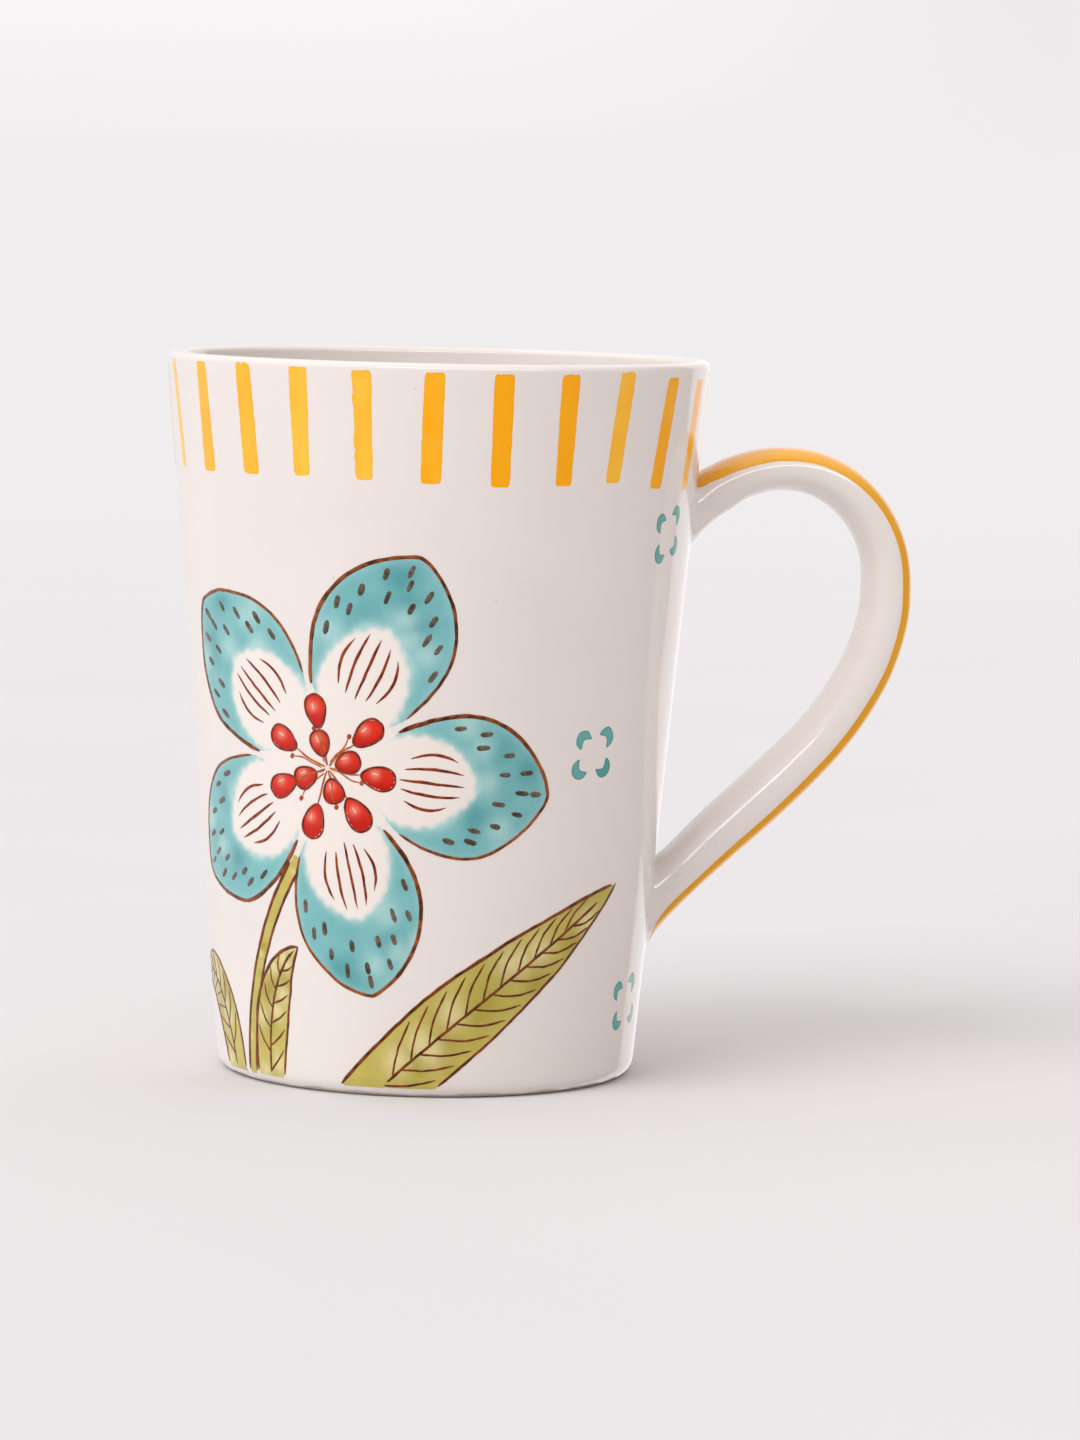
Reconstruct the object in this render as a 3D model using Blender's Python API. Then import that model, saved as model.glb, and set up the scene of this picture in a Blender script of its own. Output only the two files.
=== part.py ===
"""Tapered stoneware mug with a looped strap handle and raised painted decoration.

Units in the constants are millimetres; MM turns them into Blender's metres.
The resting plane is z = 0, the handle points along +X and the painted flower
faces -Y.  The origin is the middle of the bounding box on the resting plane,
so the mug's own axis stands at x = AXIS_X.
"""
import math

import bmesh
import bpy
from mathutils import Vector

MM = 0.001

# Cup body
HEIGHT = 120.0
WALL_RADIUS_AT_BASE = 34.8
WALL_RADIUS_AT_RIM = 45.3
WALL_THICKNESS = 4.0
LIP_THICKNESS = 2.8
LIP_CORNER_RADIUS = 1.1
LIP_TAPER = 22.0
FLOOR_TOP = 6.5
FLOOR_CORNER_RADIUS = 8.0
FOOT_OUTER_RADIUS = 32.2
FOOT_CORNER_RADIUS = 2.8
FOOT_INNER_RADIUS = 27.5
FOOT_RECESS = 1.2
BODY_SEGMENTS = 72

# Handle strap: (distance from the mug's axis, height, thickness) down the middle line
HANDLE_STATIONS = [
    (47.5, 98.0, 8.0),
    (51.5, 100.2, 7.4),
    (57.0, 101.6, 7.3),
    (63.0, 101.4, 7.4),
    (68.2, 99.3, 7.5),
    (72.2, 96.0, 7.5),
    (75.0, 92.0, 7.5),
    (76.7, 87.5, 7.6),
    (77.2, 82.5, 7.9),
    (76.8, 76.5, 8.1),
    (74.5, 69.0, 8.3),
    (70.8, 62.2, 8.4),
    (66.6, 56.6, 8.6),
    (61.3, 51.0, 8.8),
    (55.5, 45.5, 8.9),
    (49.4, 40.0, 8.7),
    (44.3, 35.1, 8.2),
]
HANDLE_WIDTH = 14.0
HANDLE_SECTION_POINTS = 24
HANDLE_STEPS_PER_STATION = 2
SECTION_SQUARENESS = 2.4

# Slip joints: (height of the middle on the wall, half height, half width)
UPPER_JOINT_PAD = (93.0, 7.5, 9.5)
LOWER_JOINT_PAD = (26.8, 9.2, 9.0)
JOINT_RINGS = 4
PAD_RINGS = 3

# Painted layers
GAP = 0.3
PAINT_THICKNESS = 0.4
DRAWING_MERIDIAN = math.radians(-98.0)
DRAWING_RADIUS = 40.0
CUT_SPACING = 4.0
STRIPE_COUNT = 25
STRIPE_FIRST_X = -0.7
STRIPE_HALF_WIDTH = 1.55
STRIPE_BOTTOM = 101.2
STRIPE_TOP = 118.0
STRIPE_CORNER = 0.5
# The handle's yellow stroke: its two edges round the section, in degrees, at shares of the strap's length
BAND_SHARES = (0.0, 0.1, 0.2, 0.4, 1.0)
BAND_NEAR_EDGE = (-58.0, -66.0, -66.0, -66.0, -64.0)
BAND_FAR_EDGE = (-20.0, 0.0, 20.0, 44.0, 44.0)
BAND_STEPS = 5

# The extra reach of the handle over the rim, shared between the two sides
AXIS_X = -18.0

# The painted flower, in the drawing plane: distance around the wall from the drawing
# meridian (measured at DRAWING_RADIUS), and height.  It is a plain five-petalled flower
# drawn from formulas, with evenly spaced petals of one shape.
FLOWER_MIDDLE = (-17.5, 54.0)
PETAL_DIRECTIONS = {
    "petal_right": -6.0,
    "petal_top": 66.0,
    "petal_upper_left": 138.0,
    "petal_lower_left": 210.0,
    "petal_bottom": 282.0,
}
PETAL_LENGTH = 38.0
PETAL_HALF_WIDTH = 11.6
PETAL_START = 12.2
PETAL_FULLNESS = 1.4
PETAL_ROUNDNESS = 0.68
PETAL_SIDE_POINTS = 9
STAMEN_RADIUS = 10.9
STAMEN_POINTS = 20
# Leaves and stem: foot, bend and tip of the middle line, half width
GREENERY = {
    "stem": ((-37.6, -2.0), (-38.6, 18.0), (-25.8, 35.4), 1.1),
    "leaf_left": ((-41.6, -9.0), (-46.0, 26.0), (-66.0, 13.5), 4.3),
    "leaf_middle": ((-31.6, -9.0), (-34.4, 17.0), (-24.4, 24.0), 4.1),
    "leaf_right": ((-24.0, -12.0), (10.0, 18.5), (38.0, 34.5), 6.4),
}
GREENERY_STEPS = 12
LEAF_FOOT_SHARE = 0.12
LEAF_ROUNDNESS = 0.85
PAINT_FOOT = 2.4
# Four-stroke marks: (x, height of the middle, turn in degrees)
MARKS = {
    "upper": (43.9, 92.0, 12.0),
    "middle": (29.1, 56.6, 0.0),
    "lower": (46.6, 13.7, 8.0),
}
MARK_STROKE_RADIUS = 1.7
MARK_STROKE_OFFSET = 2.55
MARK_ARC_POINTS = 9
MARK_CORNERS = {"top_right": 45.0, "top_left": 135.0, "bottom_left": 225.0, "bottom_right": 315.0}

# Colour, roughness and metallic of each material
MATERIALS = {
    "white_glazed_stoneware": ((0.83, 0.80, 0.77), 0.12, 0.0),
    "yellow_enamel": ((0.93, 0.50, 0.03), 0.2, 0.0),
    "turquoise_enamel": ((0.28, 0.58, 0.58), 0.2, 0.0),
    "red_enamel": ((0.75, 0.09, 0.03), 0.2, 0.0),
    "olive_enamel": ((0.42, 0.38, 0.10), 0.2, 0.0),
    "teal_enamel": ((0.12, 0.42, 0.38), 0.2, 0.0),
}


def clear_scene():
    for leftover in list(bpy.data.objects):
        bpy.data.objects.remove(leftover)


def material(name):
    """Return the named material, making it the first time."""
    found = bpy.data.materials.get(name)
    if found:
        return found
    colour, roughness, metallic = MATERIALS[name]
    made = bpy.data.materials.new(name)
    made.use_nodes = True
    shader = made.node_tree.nodes["Principled BSDF"]
    shader.inputs["Base Color"].default_value = (*colour, 1.0)
    shader.inputs["Roughness"].default_value = roughness
    shader.inputs["Metallic"].default_value = metallic
    return made


def add_object(name, bm, material_name):
    """Turn a closed bmesh in millimetres about the mug's axis into a named object in metres."""
    bmesh.ops.triangulate(bm, faces=bm.faces)
    bmesh.ops.recalc_face_normals(bm, faces=bm.faces)
    if bm.calc_volume(signed=True) < 0:
        bmesh.ops.reverse_faces(bm, faces=bm.faces)
    for vertex in bm.verts:
        vertex.co = (vertex.co + Vector((AXIS_X, 0.0, 0.0))) * MM
    mesh = bpy.data.meshes.new(name)
    bm.to_mesh(mesh)
    bm.free()
    mesh.materials.append(material(material_name))
    mesh.shade_smooth()
    mesh.set_sharp_from_angle(angle=math.radians(35.0))
    made = bpy.data.objects.new(name, mesh)
    bpy.context.scene.collection.objects.link(made)
    return made


def wall_radius(z):
    return WALL_RADIUS_AT_BASE + (WALL_RADIUS_AT_RIM - WALL_RADIUS_AT_BASE) * z / HEIGHT


def wall_point(angle, z, lift):
    """A point on the outer wall at an angle about the axis, raised off it by lift."""
    radius = wall_radius(z) + lift
    return Vector((radius * math.cos(angle), radius * math.sin(angle), z))


def arc(centre, radius, start, end, steps):
    """Profile points along an arc, with its angles in degrees."""
    points = []
    for i in range(steps + 1):
        angle = math.radians(start + (end - start) * i / steps)
        points.append((centre[0] + radius * math.cos(angle), centre[1] + radius * math.sin(angle)))
    return points


def bridge_rings(bm, first, second):
    """Side faces between two rings with equal numbers of vertices."""
    count = len(first)
    for i in range(count):
        j = (i + 1) % count
        bm.faces.new((first[i], first[j], second[j], second[i]))


def cap_with_point(bm, ring, point):
    """Close a ring with a fan of triangles about a point."""
    middle = bm.verts.new(point)
    for i, vertex in enumerate(ring):
        bm.faces.new((vertex, ring[(i + 1) % len(ring)], middle))


def cup_profile():
    """Half section of the cup from the middle of the underside to the middle of the floor."""
    foot_edge_z = FOOT_CORNER_RADIUS
    lip_z = HEIGHT - LIP_CORNER_RADIUS
    lip_x = wall_radius(lip_z)
    corner_z = FLOOR_TOP + FLOOR_CORNER_RADIUS
    corner_x = wall_radius(corner_z) - WALL_THICKNESS - FLOOR_CORNER_RADIUS
    wall_steps = 6

    profile = [(FOOT_INNER_RADIUS - FOOT_RECESS, FOOT_RECESS), (FOOT_INNER_RADIUS, 0.0)]
    profile += arc((FOOT_OUTER_RADIUS, foot_edge_z), FOOT_CORNER_RADIUS, -90, 0, 4)
    for i in range(1, wall_steps):
        z = foot_edge_z + (lip_z - foot_edge_z) * i / wall_steps
        profile.append((wall_radius(z), z))
    profile += arc((lip_x - LIP_CORNER_RADIUS, lip_z), LIP_CORNER_RADIUS, 0, 90, 3)
    profile += arc((lip_x - LIP_THICKNESS + LIP_CORNER_RADIUS, lip_z), LIP_CORNER_RADIUS, 90, 180, 3)
    full_z = lip_z - LIP_TAPER
    for i in range(wall_steps - 1):
        z = full_z + (corner_z - full_z) * i / (wall_steps - 1)
        profile.append((wall_radius(z) - WALL_THICKNESS, z))
    profile += arc((corner_x, corner_z), FLOOR_CORNER_RADIUS, 0, -90, 5)
    return profile


def make_cup_body():
    """Wall, floor and foot ring, thrown as one piece of clay."""
    bm = bmesh.new()
    rings = []
    for radius, z in cup_profile():
        ring = []
        for i in range(BODY_SEGMENTS):
            angle = 2 * math.pi * i / BODY_SEGMENTS
            ring.append(bm.verts.new((radius * math.cos(angle), radius * math.sin(angle), z)))
        rings.append(ring)
    for first, second in zip(rings, rings[1:]):
        bridge_rings(bm, first, second)
    cap_with_point(bm, rings[0], (0.0, 0.0, FOOT_RECESS))
    cap_with_point(bm, rings[-1], (0.0, 0.0, FLOOR_TOP))
    return add_object("cup_body", bm, "white_glazed_stoneware")


def catmull_rom(a, b, c, d, t):
    """Smooth value between b and c."""
    return 0.5 * (2 * b + (c - a) * t + (2 * a - 5 * b + 4 * c - d) * t * t
                  + (3 * b - 3 * c + d - a) * t ** 3)


def handle_path():
    """Stations (x, z, thickness) read from a smooth curve through HANDLE_STATIONS."""
    last = len(HANDLE_STATIONS) - 1
    path = []
    for i in range(last):
        four = [HANDLE_STATIONS[min(max(i + k, 0), last)] for k in (-1, 0, 1, 2)]
        for step in range(HANDLE_STEPS_PER_STATION):
            t = step / HANDLE_STEPS_PER_STATION
            path.append(tuple(catmull_rom(*values, t) for values in zip(*four)))
    path.append(HANDLE_STATIONS[last])
    return path


def path_direction(path, i):
    before = path[max(i - 1, 0)]
    after = path[min(i + 1, len(path) - 1)]
    return Vector((after[0] - before[0], 0.0, after[1] - before[1])).normalized()


def section_point(path, i, angle, lift=0.0, along=0.0):
    """A point on the strap's rounded section; angle 0 is the outer face, lift is off the clay."""
    x, z, thickness = path[i]
    direction = path_direction(path, i)
    outward = Vector((-direction.z, 0.0, direction.x))
    power = 2.0 / SECTION_SQUARENESS
    cosine = math.cos(angle)
    sine = math.sin(angle)
    out = math.copysign(abs(cosine) ** power, cosine) * (thickness / 2 + lift)
    side = math.copysign(abs(sine) ** power, sine) * (HANDLE_WIDTH / 2 + lift)
    middle = Vector((x, 0.0, z)) + direction * along
    return middle + outward * out + Vector((0.0, side, 0.0))


def section_angles():
    return [2 * math.pi * i / HANDLE_SECTION_POINTS for i in range(HANDLE_SECTION_POINTS)]


def make_handle():
    """Pulled strap of clay between the two slip joints."""
    path = handle_path()
    bm = bmesh.new()
    rings = []
    for i in range(len(path)):
        rings.append([bm.verts.new(section_point(path, i, angle)) for angle in section_angles()])
    for first, second in zip(rings, rings[1:]):
        bridge_rings(bm, first, second)
    cap_with_point(bm, rings[0], (path[0][0], 0.0, path[0][1]))
    cap_with_point(bm, rings[-1], (path[-1][0], 0.0, path[-1][1]))
    return add_object("handle", bm, "white_glazed_stoneware")


def make_slip_joint(name, end, pad, upright):
    """Flared pad of slip between the wall and one end of the strap.

    end is the index of the strap's end station, pad the outline on the wall,
    and upright is +1 where the strap's outer face looks up there, -1 where down.
    """
    path = handle_path()
    index = 0 if end == 0 else len(path) - 1
    away = -GAP if end == 0 else GAP
    pad_z, half_height, half_width = pad
    bm = bmesh.new()

    def on_pad(angle, scale):
        z = pad_z + upright * half_height * math.cos(angle) * scale
        side = half_width * math.sin(angle) * scale
        return wall_point(side / wall_radius(z), z, GAP)

    wall_rings = []
    for k in range(PAD_RINGS):
        scale = (k + 1) / PAD_RINGS
        wall_rings.append([bm.verts.new(on_pad(angle, scale)) for angle in section_angles()])
    cap_with_point(bm, wall_rings[0], on_pad(0.0, 0.0))
    for first, second in zip(wall_rings, wall_rings[1:]):
        bridge_rings(bm, first, second)

    previous = wall_rings[-1]
    for k in range(1, JOINT_RINGS + 1):
        share = k / JOINT_RINGS
        ring = []
        for angle in section_angles():
            start = on_pad(angle, 1.0)
            finish = section_point(path, index, angle, along=away)
            ring.append(bm.verts.new(start.lerp(finish, share)))
        bridge_rings(bm, previous, ring)
        previous = ring
    x, z, _ = path[index]
    cap_with_point(bm, previous, Vector((x, 0.0, z)) + path_direction(path, index) * away)
    return add_object(name, bm, "white_glazed_stoneware")


def band_edge(edge, share):
    """One edge of the yellow stroke, in radians, at a share of the strap's length."""
    for k in range(1, len(BAND_SHARES)):
        if share <= BAND_SHARES[k]:
            break
    low = BAND_SHARES[k - 1]
    part = (share - low) / (BAND_SHARES[k] - low)
    return math.radians(edge[k - 1] + (edge[k] - edge[k - 1]) * part)


def make_handle_band():
    """Stroke of yellow paint along the strap, from its near side over its outer face."""
    path = handle_path()
    bm = bmesh.new()
    rings = []
    for i in range(len(path)):
        share = i / (len(path) - 1)
        near = band_edge(BAND_NEAR_EDGE, share)
        far = band_edge(BAND_FAR_EDGE, share)
        inner = []
        outer = []
        for k in range(BAND_STEPS + 1):
            angle = near + (far - near) * k / BAND_STEPS
            inner.append(bm.verts.new(section_point(path, i, angle, GAP)))
            outer.append(bm.verts.new(section_point(path, i, angle, GAP + PAINT_THICKNESS)))
        rings.append(inner + outer[::-1])
    for first, second in zip(rings, rings[1:]):
        bridge_rings(bm, first, second)
    bm.faces.new(rings[0])
    bm.faces.new(rings[-1])
    return add_object("handle_band", bm, "yellow_enamel")


def add_paint(name, outline, material_name):
    """A thin layer of paint with the given outline, wrapped on the tapered wall."""
    bm = bmesh.new()
    floor = [bm.verts.new((x, z, 0.0)) for x, z in outline]
    top = [bm.verts.new((x, z, PAINT_THICKNESS)) for x, z in outline]
    bm.faces.new(floor)
    bm.faces.new(top)
    bridge_rings(bm, floor, top)
    cut_x = min(x for x, _ in outline) + CUT_SPACING
    end_x = max(x for x, _ in outline) - CUT_SPACING / 4
    while cut_x < end_x:
        everything = bm.verts[:] + bm.edges[:] + bm.faces[:]
        bmesh.ops.bisect_plane(bm, geom=everything, plane_co=(cut_x, 0, 0), plane_no=(1, 0, 0))
        cut_x += CUT_SPACING
    for vertex in bm.verts:
        x, z, height = vertex.co
        vertex.co = wall_point(DRAWING_MERIDIAN + x / DRAWING_RADIUS, z, GAP + height)
    return add_object(name, bm, material_name)


def make_rim_stripes():
    """Upright strokes below the rim, evenly spaced all the way round."""
    pitch = 2 * math.pi * DRAWING_RADIUS / STRIPE_COUNT
    side = STRIPE_HALF_WIDTH
    corner = STRIPE_CORNER
    for i in range(STRIPE_COUNT):
        middle = STRIPE_FIRST_X + i * pitch
        outline = [
            (middle - side, STRIPE_BOTTOM + corner),
            (middle - side, STRIPE_TOP - corner),
            (middle - side + corner, STRIPE_TOP),
            (middle + side - corner, STRIPE_TOP),
            (middle + side, STRIPE_TOP - corner),
            (middle + side, STRIPE_BOTTOM + corner),
            (middle + side - corner, STRIPE_BOTTOM),
            (middle - side + corner, STRIPE_BOTTOM),
        ]
        add_paint(f"rim_stripe_{i + 1:02d}", outline, "yellow_enamel")


def petal_outline(direction):
    """A petal that widens past its middle to a softly pointed tip, cut off at the flower's heart."""
    first = PETAL_START / PETAL_LENGTH
    side = []
    for i in range(PETAL_SIDE_POINTS):
        share = first + (1 - first) * math.sin(math.pi / 2 * i / PETAL_SIDE_POINTS)
        half = PETAL_HALF_WIDTH * math.sin(math.pi * share ** PETAL_FULLNESS) ** PETAL_ROUNDNESS
        side.append((share * PETAL_LENGTH, half))
    other_side = [(along, -half) for along, half in reversed(side)]
    turn = math.radians(direction)
    outline = []
    for along, across in side + [(PETAL_LENGTH, 0.0)] + other_side:
        x = FLOWER_MIDDLE[0] + along * math.cos(turn) - across * math.sin(turn)
        z = FLOWER_MIDDLE[1] + along * math.sin(turn) + across * math.cos(turn)
        outline.append((x, z))
    return outline


def greenery_outline(foot, bend, tip, half_width, pointed):
    """A stem or a leaf about one smooth bend from its foot to its tip."""
    left = []
    right = []
    for i in range(GREENERY_STEPS + 1):
        t = i / GREENERY_STEPS
        x, z = [(1 - t) ** 2 * a + 2 * t * (1 - t) * b + t * t * c for a, b, c in zip(foot, bend, tip)]
        along_x, along_z = [2 * (1 - t) * (b - a) + 2 * t * (c - b) for a, b, c in zip(foot, bend, tip)]
        length = math.hypot(along_x, along_z)
        half = half_width
        if pointed:
            share = LEAF_FOOT_SHARE + (1 - LEAF_FOOT_SHARE) * t
            half *= abs(math.sin(math.pi * share)) ** LEAF_ROUNDNESS
        across_x = -along_z / length * half
        across_z = along_x / length * half
        left.append((x + across_x, z + across_z))
        right.append((x - across_x, z - across_z))
    if pointed:
        right.pop()
    return left + right[::-1]


def cut_at_height(outline, height):
    """The part of an outline that lies above a height."""
    kept = []
    for (x, z), (next_x, next_z) in zip(outline, outline[1:] + outline[:1]):
        if z >= height:
            kept.append((x, z))
        if (z >= height) != (next_z >= height):
            share = (height - z) / (next_z - z)
            kept.append((x + (next_x - x) * share, height))
    return kept


def make_flower():
    """Five petals about the cluster of stamens, with the stem and its leaves."""
    for name, direction in PETAL_DIRECTIONS.items():
        add_paint(name, petal_outline(direction), "turquoise_enamel")
    for name, (foot, bend, tip, half_width) in GREENERY.items():
        outline = greenery_outline(foot, bend, tip, half_width, name != "stem")
        add_paint(name, cut_at_height(outline, PAINT_FOOT), "olive_enamel")
    heart = arc(FLOWER_MIDDLE, STAMEN_RADIUS, 0, 360, STAMEN_POINTS)[:-1]
    add_paint("stamen_cluster", heart, "red_enamel")


def make_marks():
    """Three marks of four strokes, each stroke a disc with a quarter open to the middle."""
    for mark, (mark_x, mark_z, turn) in MARKS.items():
        to_drawing = DRAWING_RADIUS / wall_radius(mark_z)
        for corner, direction in MARK_CORNERS.items():
            towards = math.radians(direction + turn)
            x = MARK_STROKE_OFFSET * math.sqrt(2) * math.cos(towards)
            z = MARK_STROKE_OFFSET * math.sqrt(2) * math.sin(towards)
            opening = direction + turn + 180
            rounded = arc((x, z), MARK_STROKE_RADIUS, opening + 45, opening + 315, MARK_ARC_POINTS)
            outline = [(mark_x + a * to_drawing, mark_z + b) for a, b in [(x, z)] + rounded]
            add_paint(f"mark_{mark}_{corner}", outline, "teal_enamel")


def main():
    clear_scene()
    make_cup_body()
    make_handle()
    make_slip_joint("upper_slip_joint", 0, UPPER_JOINT_PAD, 1)
    make_slip_joint("lower_slip_joint", -1, LOWER_JOINT_PAD, -1)
    make_handle_band()
    make_rim_stripes()
    make_flower()
    make_marks()


main()
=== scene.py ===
"""Looks for the tapered stoneware mug: glazed clay, a pulled strap handle and hand-painted decoration.

Sizes are in millimetres, and MM turns them into Blender's metres.  Painted lines and fills are drawn
flat, as (distance round the wall from the flower's side, height), and then wrapped on the tapered wall.
"""
import math

import bmesh
import bpy
import numpy as np
from mathutils import Matrix, Vector
from mathutils.geometry import delaunay_2d_cdt


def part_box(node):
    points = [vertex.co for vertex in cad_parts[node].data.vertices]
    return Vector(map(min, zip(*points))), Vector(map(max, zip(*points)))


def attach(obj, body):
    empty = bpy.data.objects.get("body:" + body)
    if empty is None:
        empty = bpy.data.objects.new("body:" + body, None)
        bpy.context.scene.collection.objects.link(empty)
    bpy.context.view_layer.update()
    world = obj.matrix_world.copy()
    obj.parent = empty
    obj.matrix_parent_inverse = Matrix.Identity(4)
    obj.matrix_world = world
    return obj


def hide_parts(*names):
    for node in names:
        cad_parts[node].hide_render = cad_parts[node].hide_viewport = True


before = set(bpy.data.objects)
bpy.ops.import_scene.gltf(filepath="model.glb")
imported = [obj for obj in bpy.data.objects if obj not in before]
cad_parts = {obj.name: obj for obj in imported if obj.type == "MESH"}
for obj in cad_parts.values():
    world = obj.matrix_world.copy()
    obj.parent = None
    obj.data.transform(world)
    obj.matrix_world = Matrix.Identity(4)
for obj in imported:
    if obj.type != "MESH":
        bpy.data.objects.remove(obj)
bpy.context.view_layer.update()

MM = 0.001
RNG_SEED = 7

# ---- the cup's measures
# The axis, height and width are read from the frame
body_low, body_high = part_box("cup_body")
AXIS_X = (body_low.x + body_high.x) / 2 / MM
HEIGHT = body_high.z / MM
WIDEST_RADIUS = (body_high.x - body_low.x) / 2 / MM
LIP_RADIUS = 1.1
LIP_THICKNESS = 2.8
# The height over which the wall thins towards the lip
LIP_TAPER = 22.0
# How much the radius grows with each millimetre of height
WALL_SLOPE = 10.5 / 120.0
WALL_THICKNESS = 4.0

# The turned form below and inside the wall
FOOT_OUTER = 32.2
FOOT_CORNER = 2.8
FOOT_INNER = 27.5
FOOT_RECESS = 1.2
FLOOR_TOP = 6.5
FLOOR_CORNER = 8.0
TURNED_STEPS = 256

# The drawing plane
DRAWING_MERIDIAN = math.radians(-98.0)
DRAWING_RADIUS = 40.0
# How far paint goes into the wall: at a stroke's edge, at a fill's edge, and at the hidden underside
EMBED = 0.05
RIM_SINK = 0.012
UNDERSIDE = EMBED + 0.03
# How far each layer of paint stands off the wall
HEART_LIFT = 0.012
GREENERY_LIFT = 0.016
PETAL_LIFT = 0.030
LAYER_STEP = 0.003
ON_PAINT = 0.01
BAND_LIFT = 0.05
STRIPE_LIFT = 0.04
STALK_LIFT = 0.05
KNOB_LIFT = 0.055
SEED_HEAD_LIFT = 0.062


def wall_radius(z):
    """Outer radius of the tapered wall, and of the rounded foot and lip at its ends."""
    z = np.asarray(z, float)
    straight = WIDEST_RADIUS + (z - (HEIGHT - LIP_RADIUS)) * WALL_SLOPE
    below = np.clip(FOOT_CORNER - z, 0.0, FOOT_CORNER)
    corner = FOOT_OUTER + np.sqrt(FOOT_CORNER ** 2 - below ** 2)
    above = np.clip(z - (HEIGHT - LIP_RADIUS), 0.0, LIP_RADIUS)
    lip = WIDEST_RADIUS - LIP_RADIUS + np.sqrt(LIP_RADIUS ** 2 - above ** 2)
    radius = np.where(z < FOOT_CORNER, np.minimum(straight, corner), straight)
    return np.where(above > 0, lip, radius)


def on_wall(x, z, lift):
    """Drawing-plane points raised off the wall by lift, as an array of points in millimetres."""
    x, z, lift = np.broadcast_arrays(np.asarray(x, float), np.asarray(z, float), np.asarray(lift, float))
    angle = DRAWING_MERIDIAN + x / DRAWING_RADIUS
    radius = wall_radius(z) + lift
    return np.stack([AXIS_X + radius * np.cos(angle), radius * np.sin(angle), z], -1)


def unit(vectors):
    """Vectors brought to length 1."""
    return vectors / np.maximum(np.linalg.norm(vectors, axis=-1, keepdims=True), 1e-9)


def left_of(heading):
    """The flat directions a quarter turn to the left of the given ones."""
    return np.stack([-heading[..., 1], heading[..., 0]], -1)


def wall_normal(x, z):
    """The wall's outward direction at drawing-plane points."""
    angle = DRAWING_MERIDIAN + np.asarray(x, float) / DRAWING_RADIUS
    z = np.asarray(z, float)
    slope = (wall_radius(z + 0.1) - wall_radius(z - 0.1)) / 0.2
    return unit(np.stack([np.cos(angle), np.sin(angle), -slope], -1))


# ---- lines and outlines
def smooth_line(points, spacing, closed=False):
    """Points about spacing apart on a smooth curve through the given ones."""
    p = np.array(points, float)
    if closed:
        four = [np.roll(p, 1, 0), p, np.roll(p, -1, 0), np.roll(p, -2, 0)]
    else:
        first = 2 * p[0] - p[1]
        last = 2 * p[-1] - p[-2]
        q = np.vstack([first, p, last])
        four = [q[:-3], q[1:-2], q[2:-1], q[3:]]
    a, b, c, d = four
    dense = []
    for t in np.linspace(0, 1, 12, endpoint=False):
        dense.append(0.5 * (2 * b + (c - a) * t + (2 * a - 5 * b + 4 * c - d) * t ** 2
                            + (3 * b - 3 * c + d - a) * t ** 3))
    dense = np.stack(dense, 1).reshape(-1, p.shape[1])
    end = dense[:1] if closed else p[-1:]
    dense = np.vstack([dense, end])
    length = np.concatenate([[0], np.cumsum(np.linalg.norm(np.diff(dense, axis=0), axis=1))])
    count = max(3, int(round(length[-1] / spacing)))
    along = np.linspace(0, length[-1], count + 1)
    if closed:
        along = along[:-1]
    return np.stack([np.interp(along, length, dense[:, k]) for k in range(p.shape[1])], 1)


def segment_distance(points, line, closed):
    """Distance from each point to a polyline."""
    start = line if closed else line[:-1]
    end = np.roll(line, -1, 0) if closed else line[1:]
    step = end - start
    size = np.maximum((step ** 2).sum(1), 1e-9)
    rel = points[:, None, :] - start[None]
    share = np.clip((rel * step[None]).sum(2) / size[None], 0, 1)
    gap = rel - share[..., None] * step[None]
    return np.sqrt((gap ** 2).sum(2).min(1))


def inside(points, polygon):
    """True for points inside a closed polygon."""
    x, z = points[:, 0][:, None], points[:, 1][:, None]
    ax, az = polygon[:, 0][None], polygon[:, 1][None]
    bx, bz = np.roll(polygon[:, 0], -1)[None], np.roll(polygon[:, 1], -1)[None]
    crosses = (az > z) != (bz > z)
    where = (bx - ax) * (z - az) / np.where(bz == az, 1e-9, bz - az) + ax
    return (crosses & (x < where)).sum(1) % 2 == 1


def signed_distance(points, polygon):
    """Distance to a closed outline, negative inside it."""
    gap = segment_distance(points, polygon, True)
    return np.where(inside(points, polygon), -gap, gap)


def smoothstep(low, high, value):
    """Rises softly from 0 at low to 1 at high."""
    t = np.clip((np.asarray(value, float) - low) / (high - low), 0, 1)
    return t * t * (3 - 2 * t)


def wobble(count, seed, spread):
    """Random values from -1 to 1, one for each of count steps, with a new one about every spread steps."""
    rng = np.random.default_rng(RNG_SEED * 1000 + seed)
    knots = rng.uniform(-1, 1, max(4, count // spread + 3))
    return np.interp(np.linspace(0, len(knots) - 1, count), np.arange(len(knots)), knots)


# ---- meshes
def add_mesh(name, vertices, faces, material, normals=None, values=None):
    """A smooth-shaded mesh object from millimetre points, with one float attribute for each value."""
    mesh = bpy.data.meshes.new(name)
    mesh.from_pydata((np.asarray(vertices) * MM).tolist(), [], [list(map(int, f)) for f in faces])
    mesh.update()
    mesh.polygons.foreach_set("use_smooth", [True] * len(mesh.polygons))
    for key, numbers in (values or {}).items():
        layer = mesh.attributes.new(key, "FLOAT", "POINT")
        layer.data.foreach_set("value", np.asarray(numbers, np.float32))
    mesh.materials.append(material)
    made = bpy.data.objects.new(name, mesh)
    bpy.context.scene.collection.objects.link(made)
    if normals is not None:
        mesh.normals_split_custom_set_from_vertices([tuple(n) for n in normals])
    return made


def tube_faces(rings, steps):
    """Quads between neighbouring rings of steps points each."""
    faces = []
    for k in range(rings - 1):
        for i in range(steps):
            j = (i + 1) % steps
            faces.append((k * steps + i, k * steps + j, (k + 1) * steps + j, (k + 1) * steps + i))
    return faces


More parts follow.
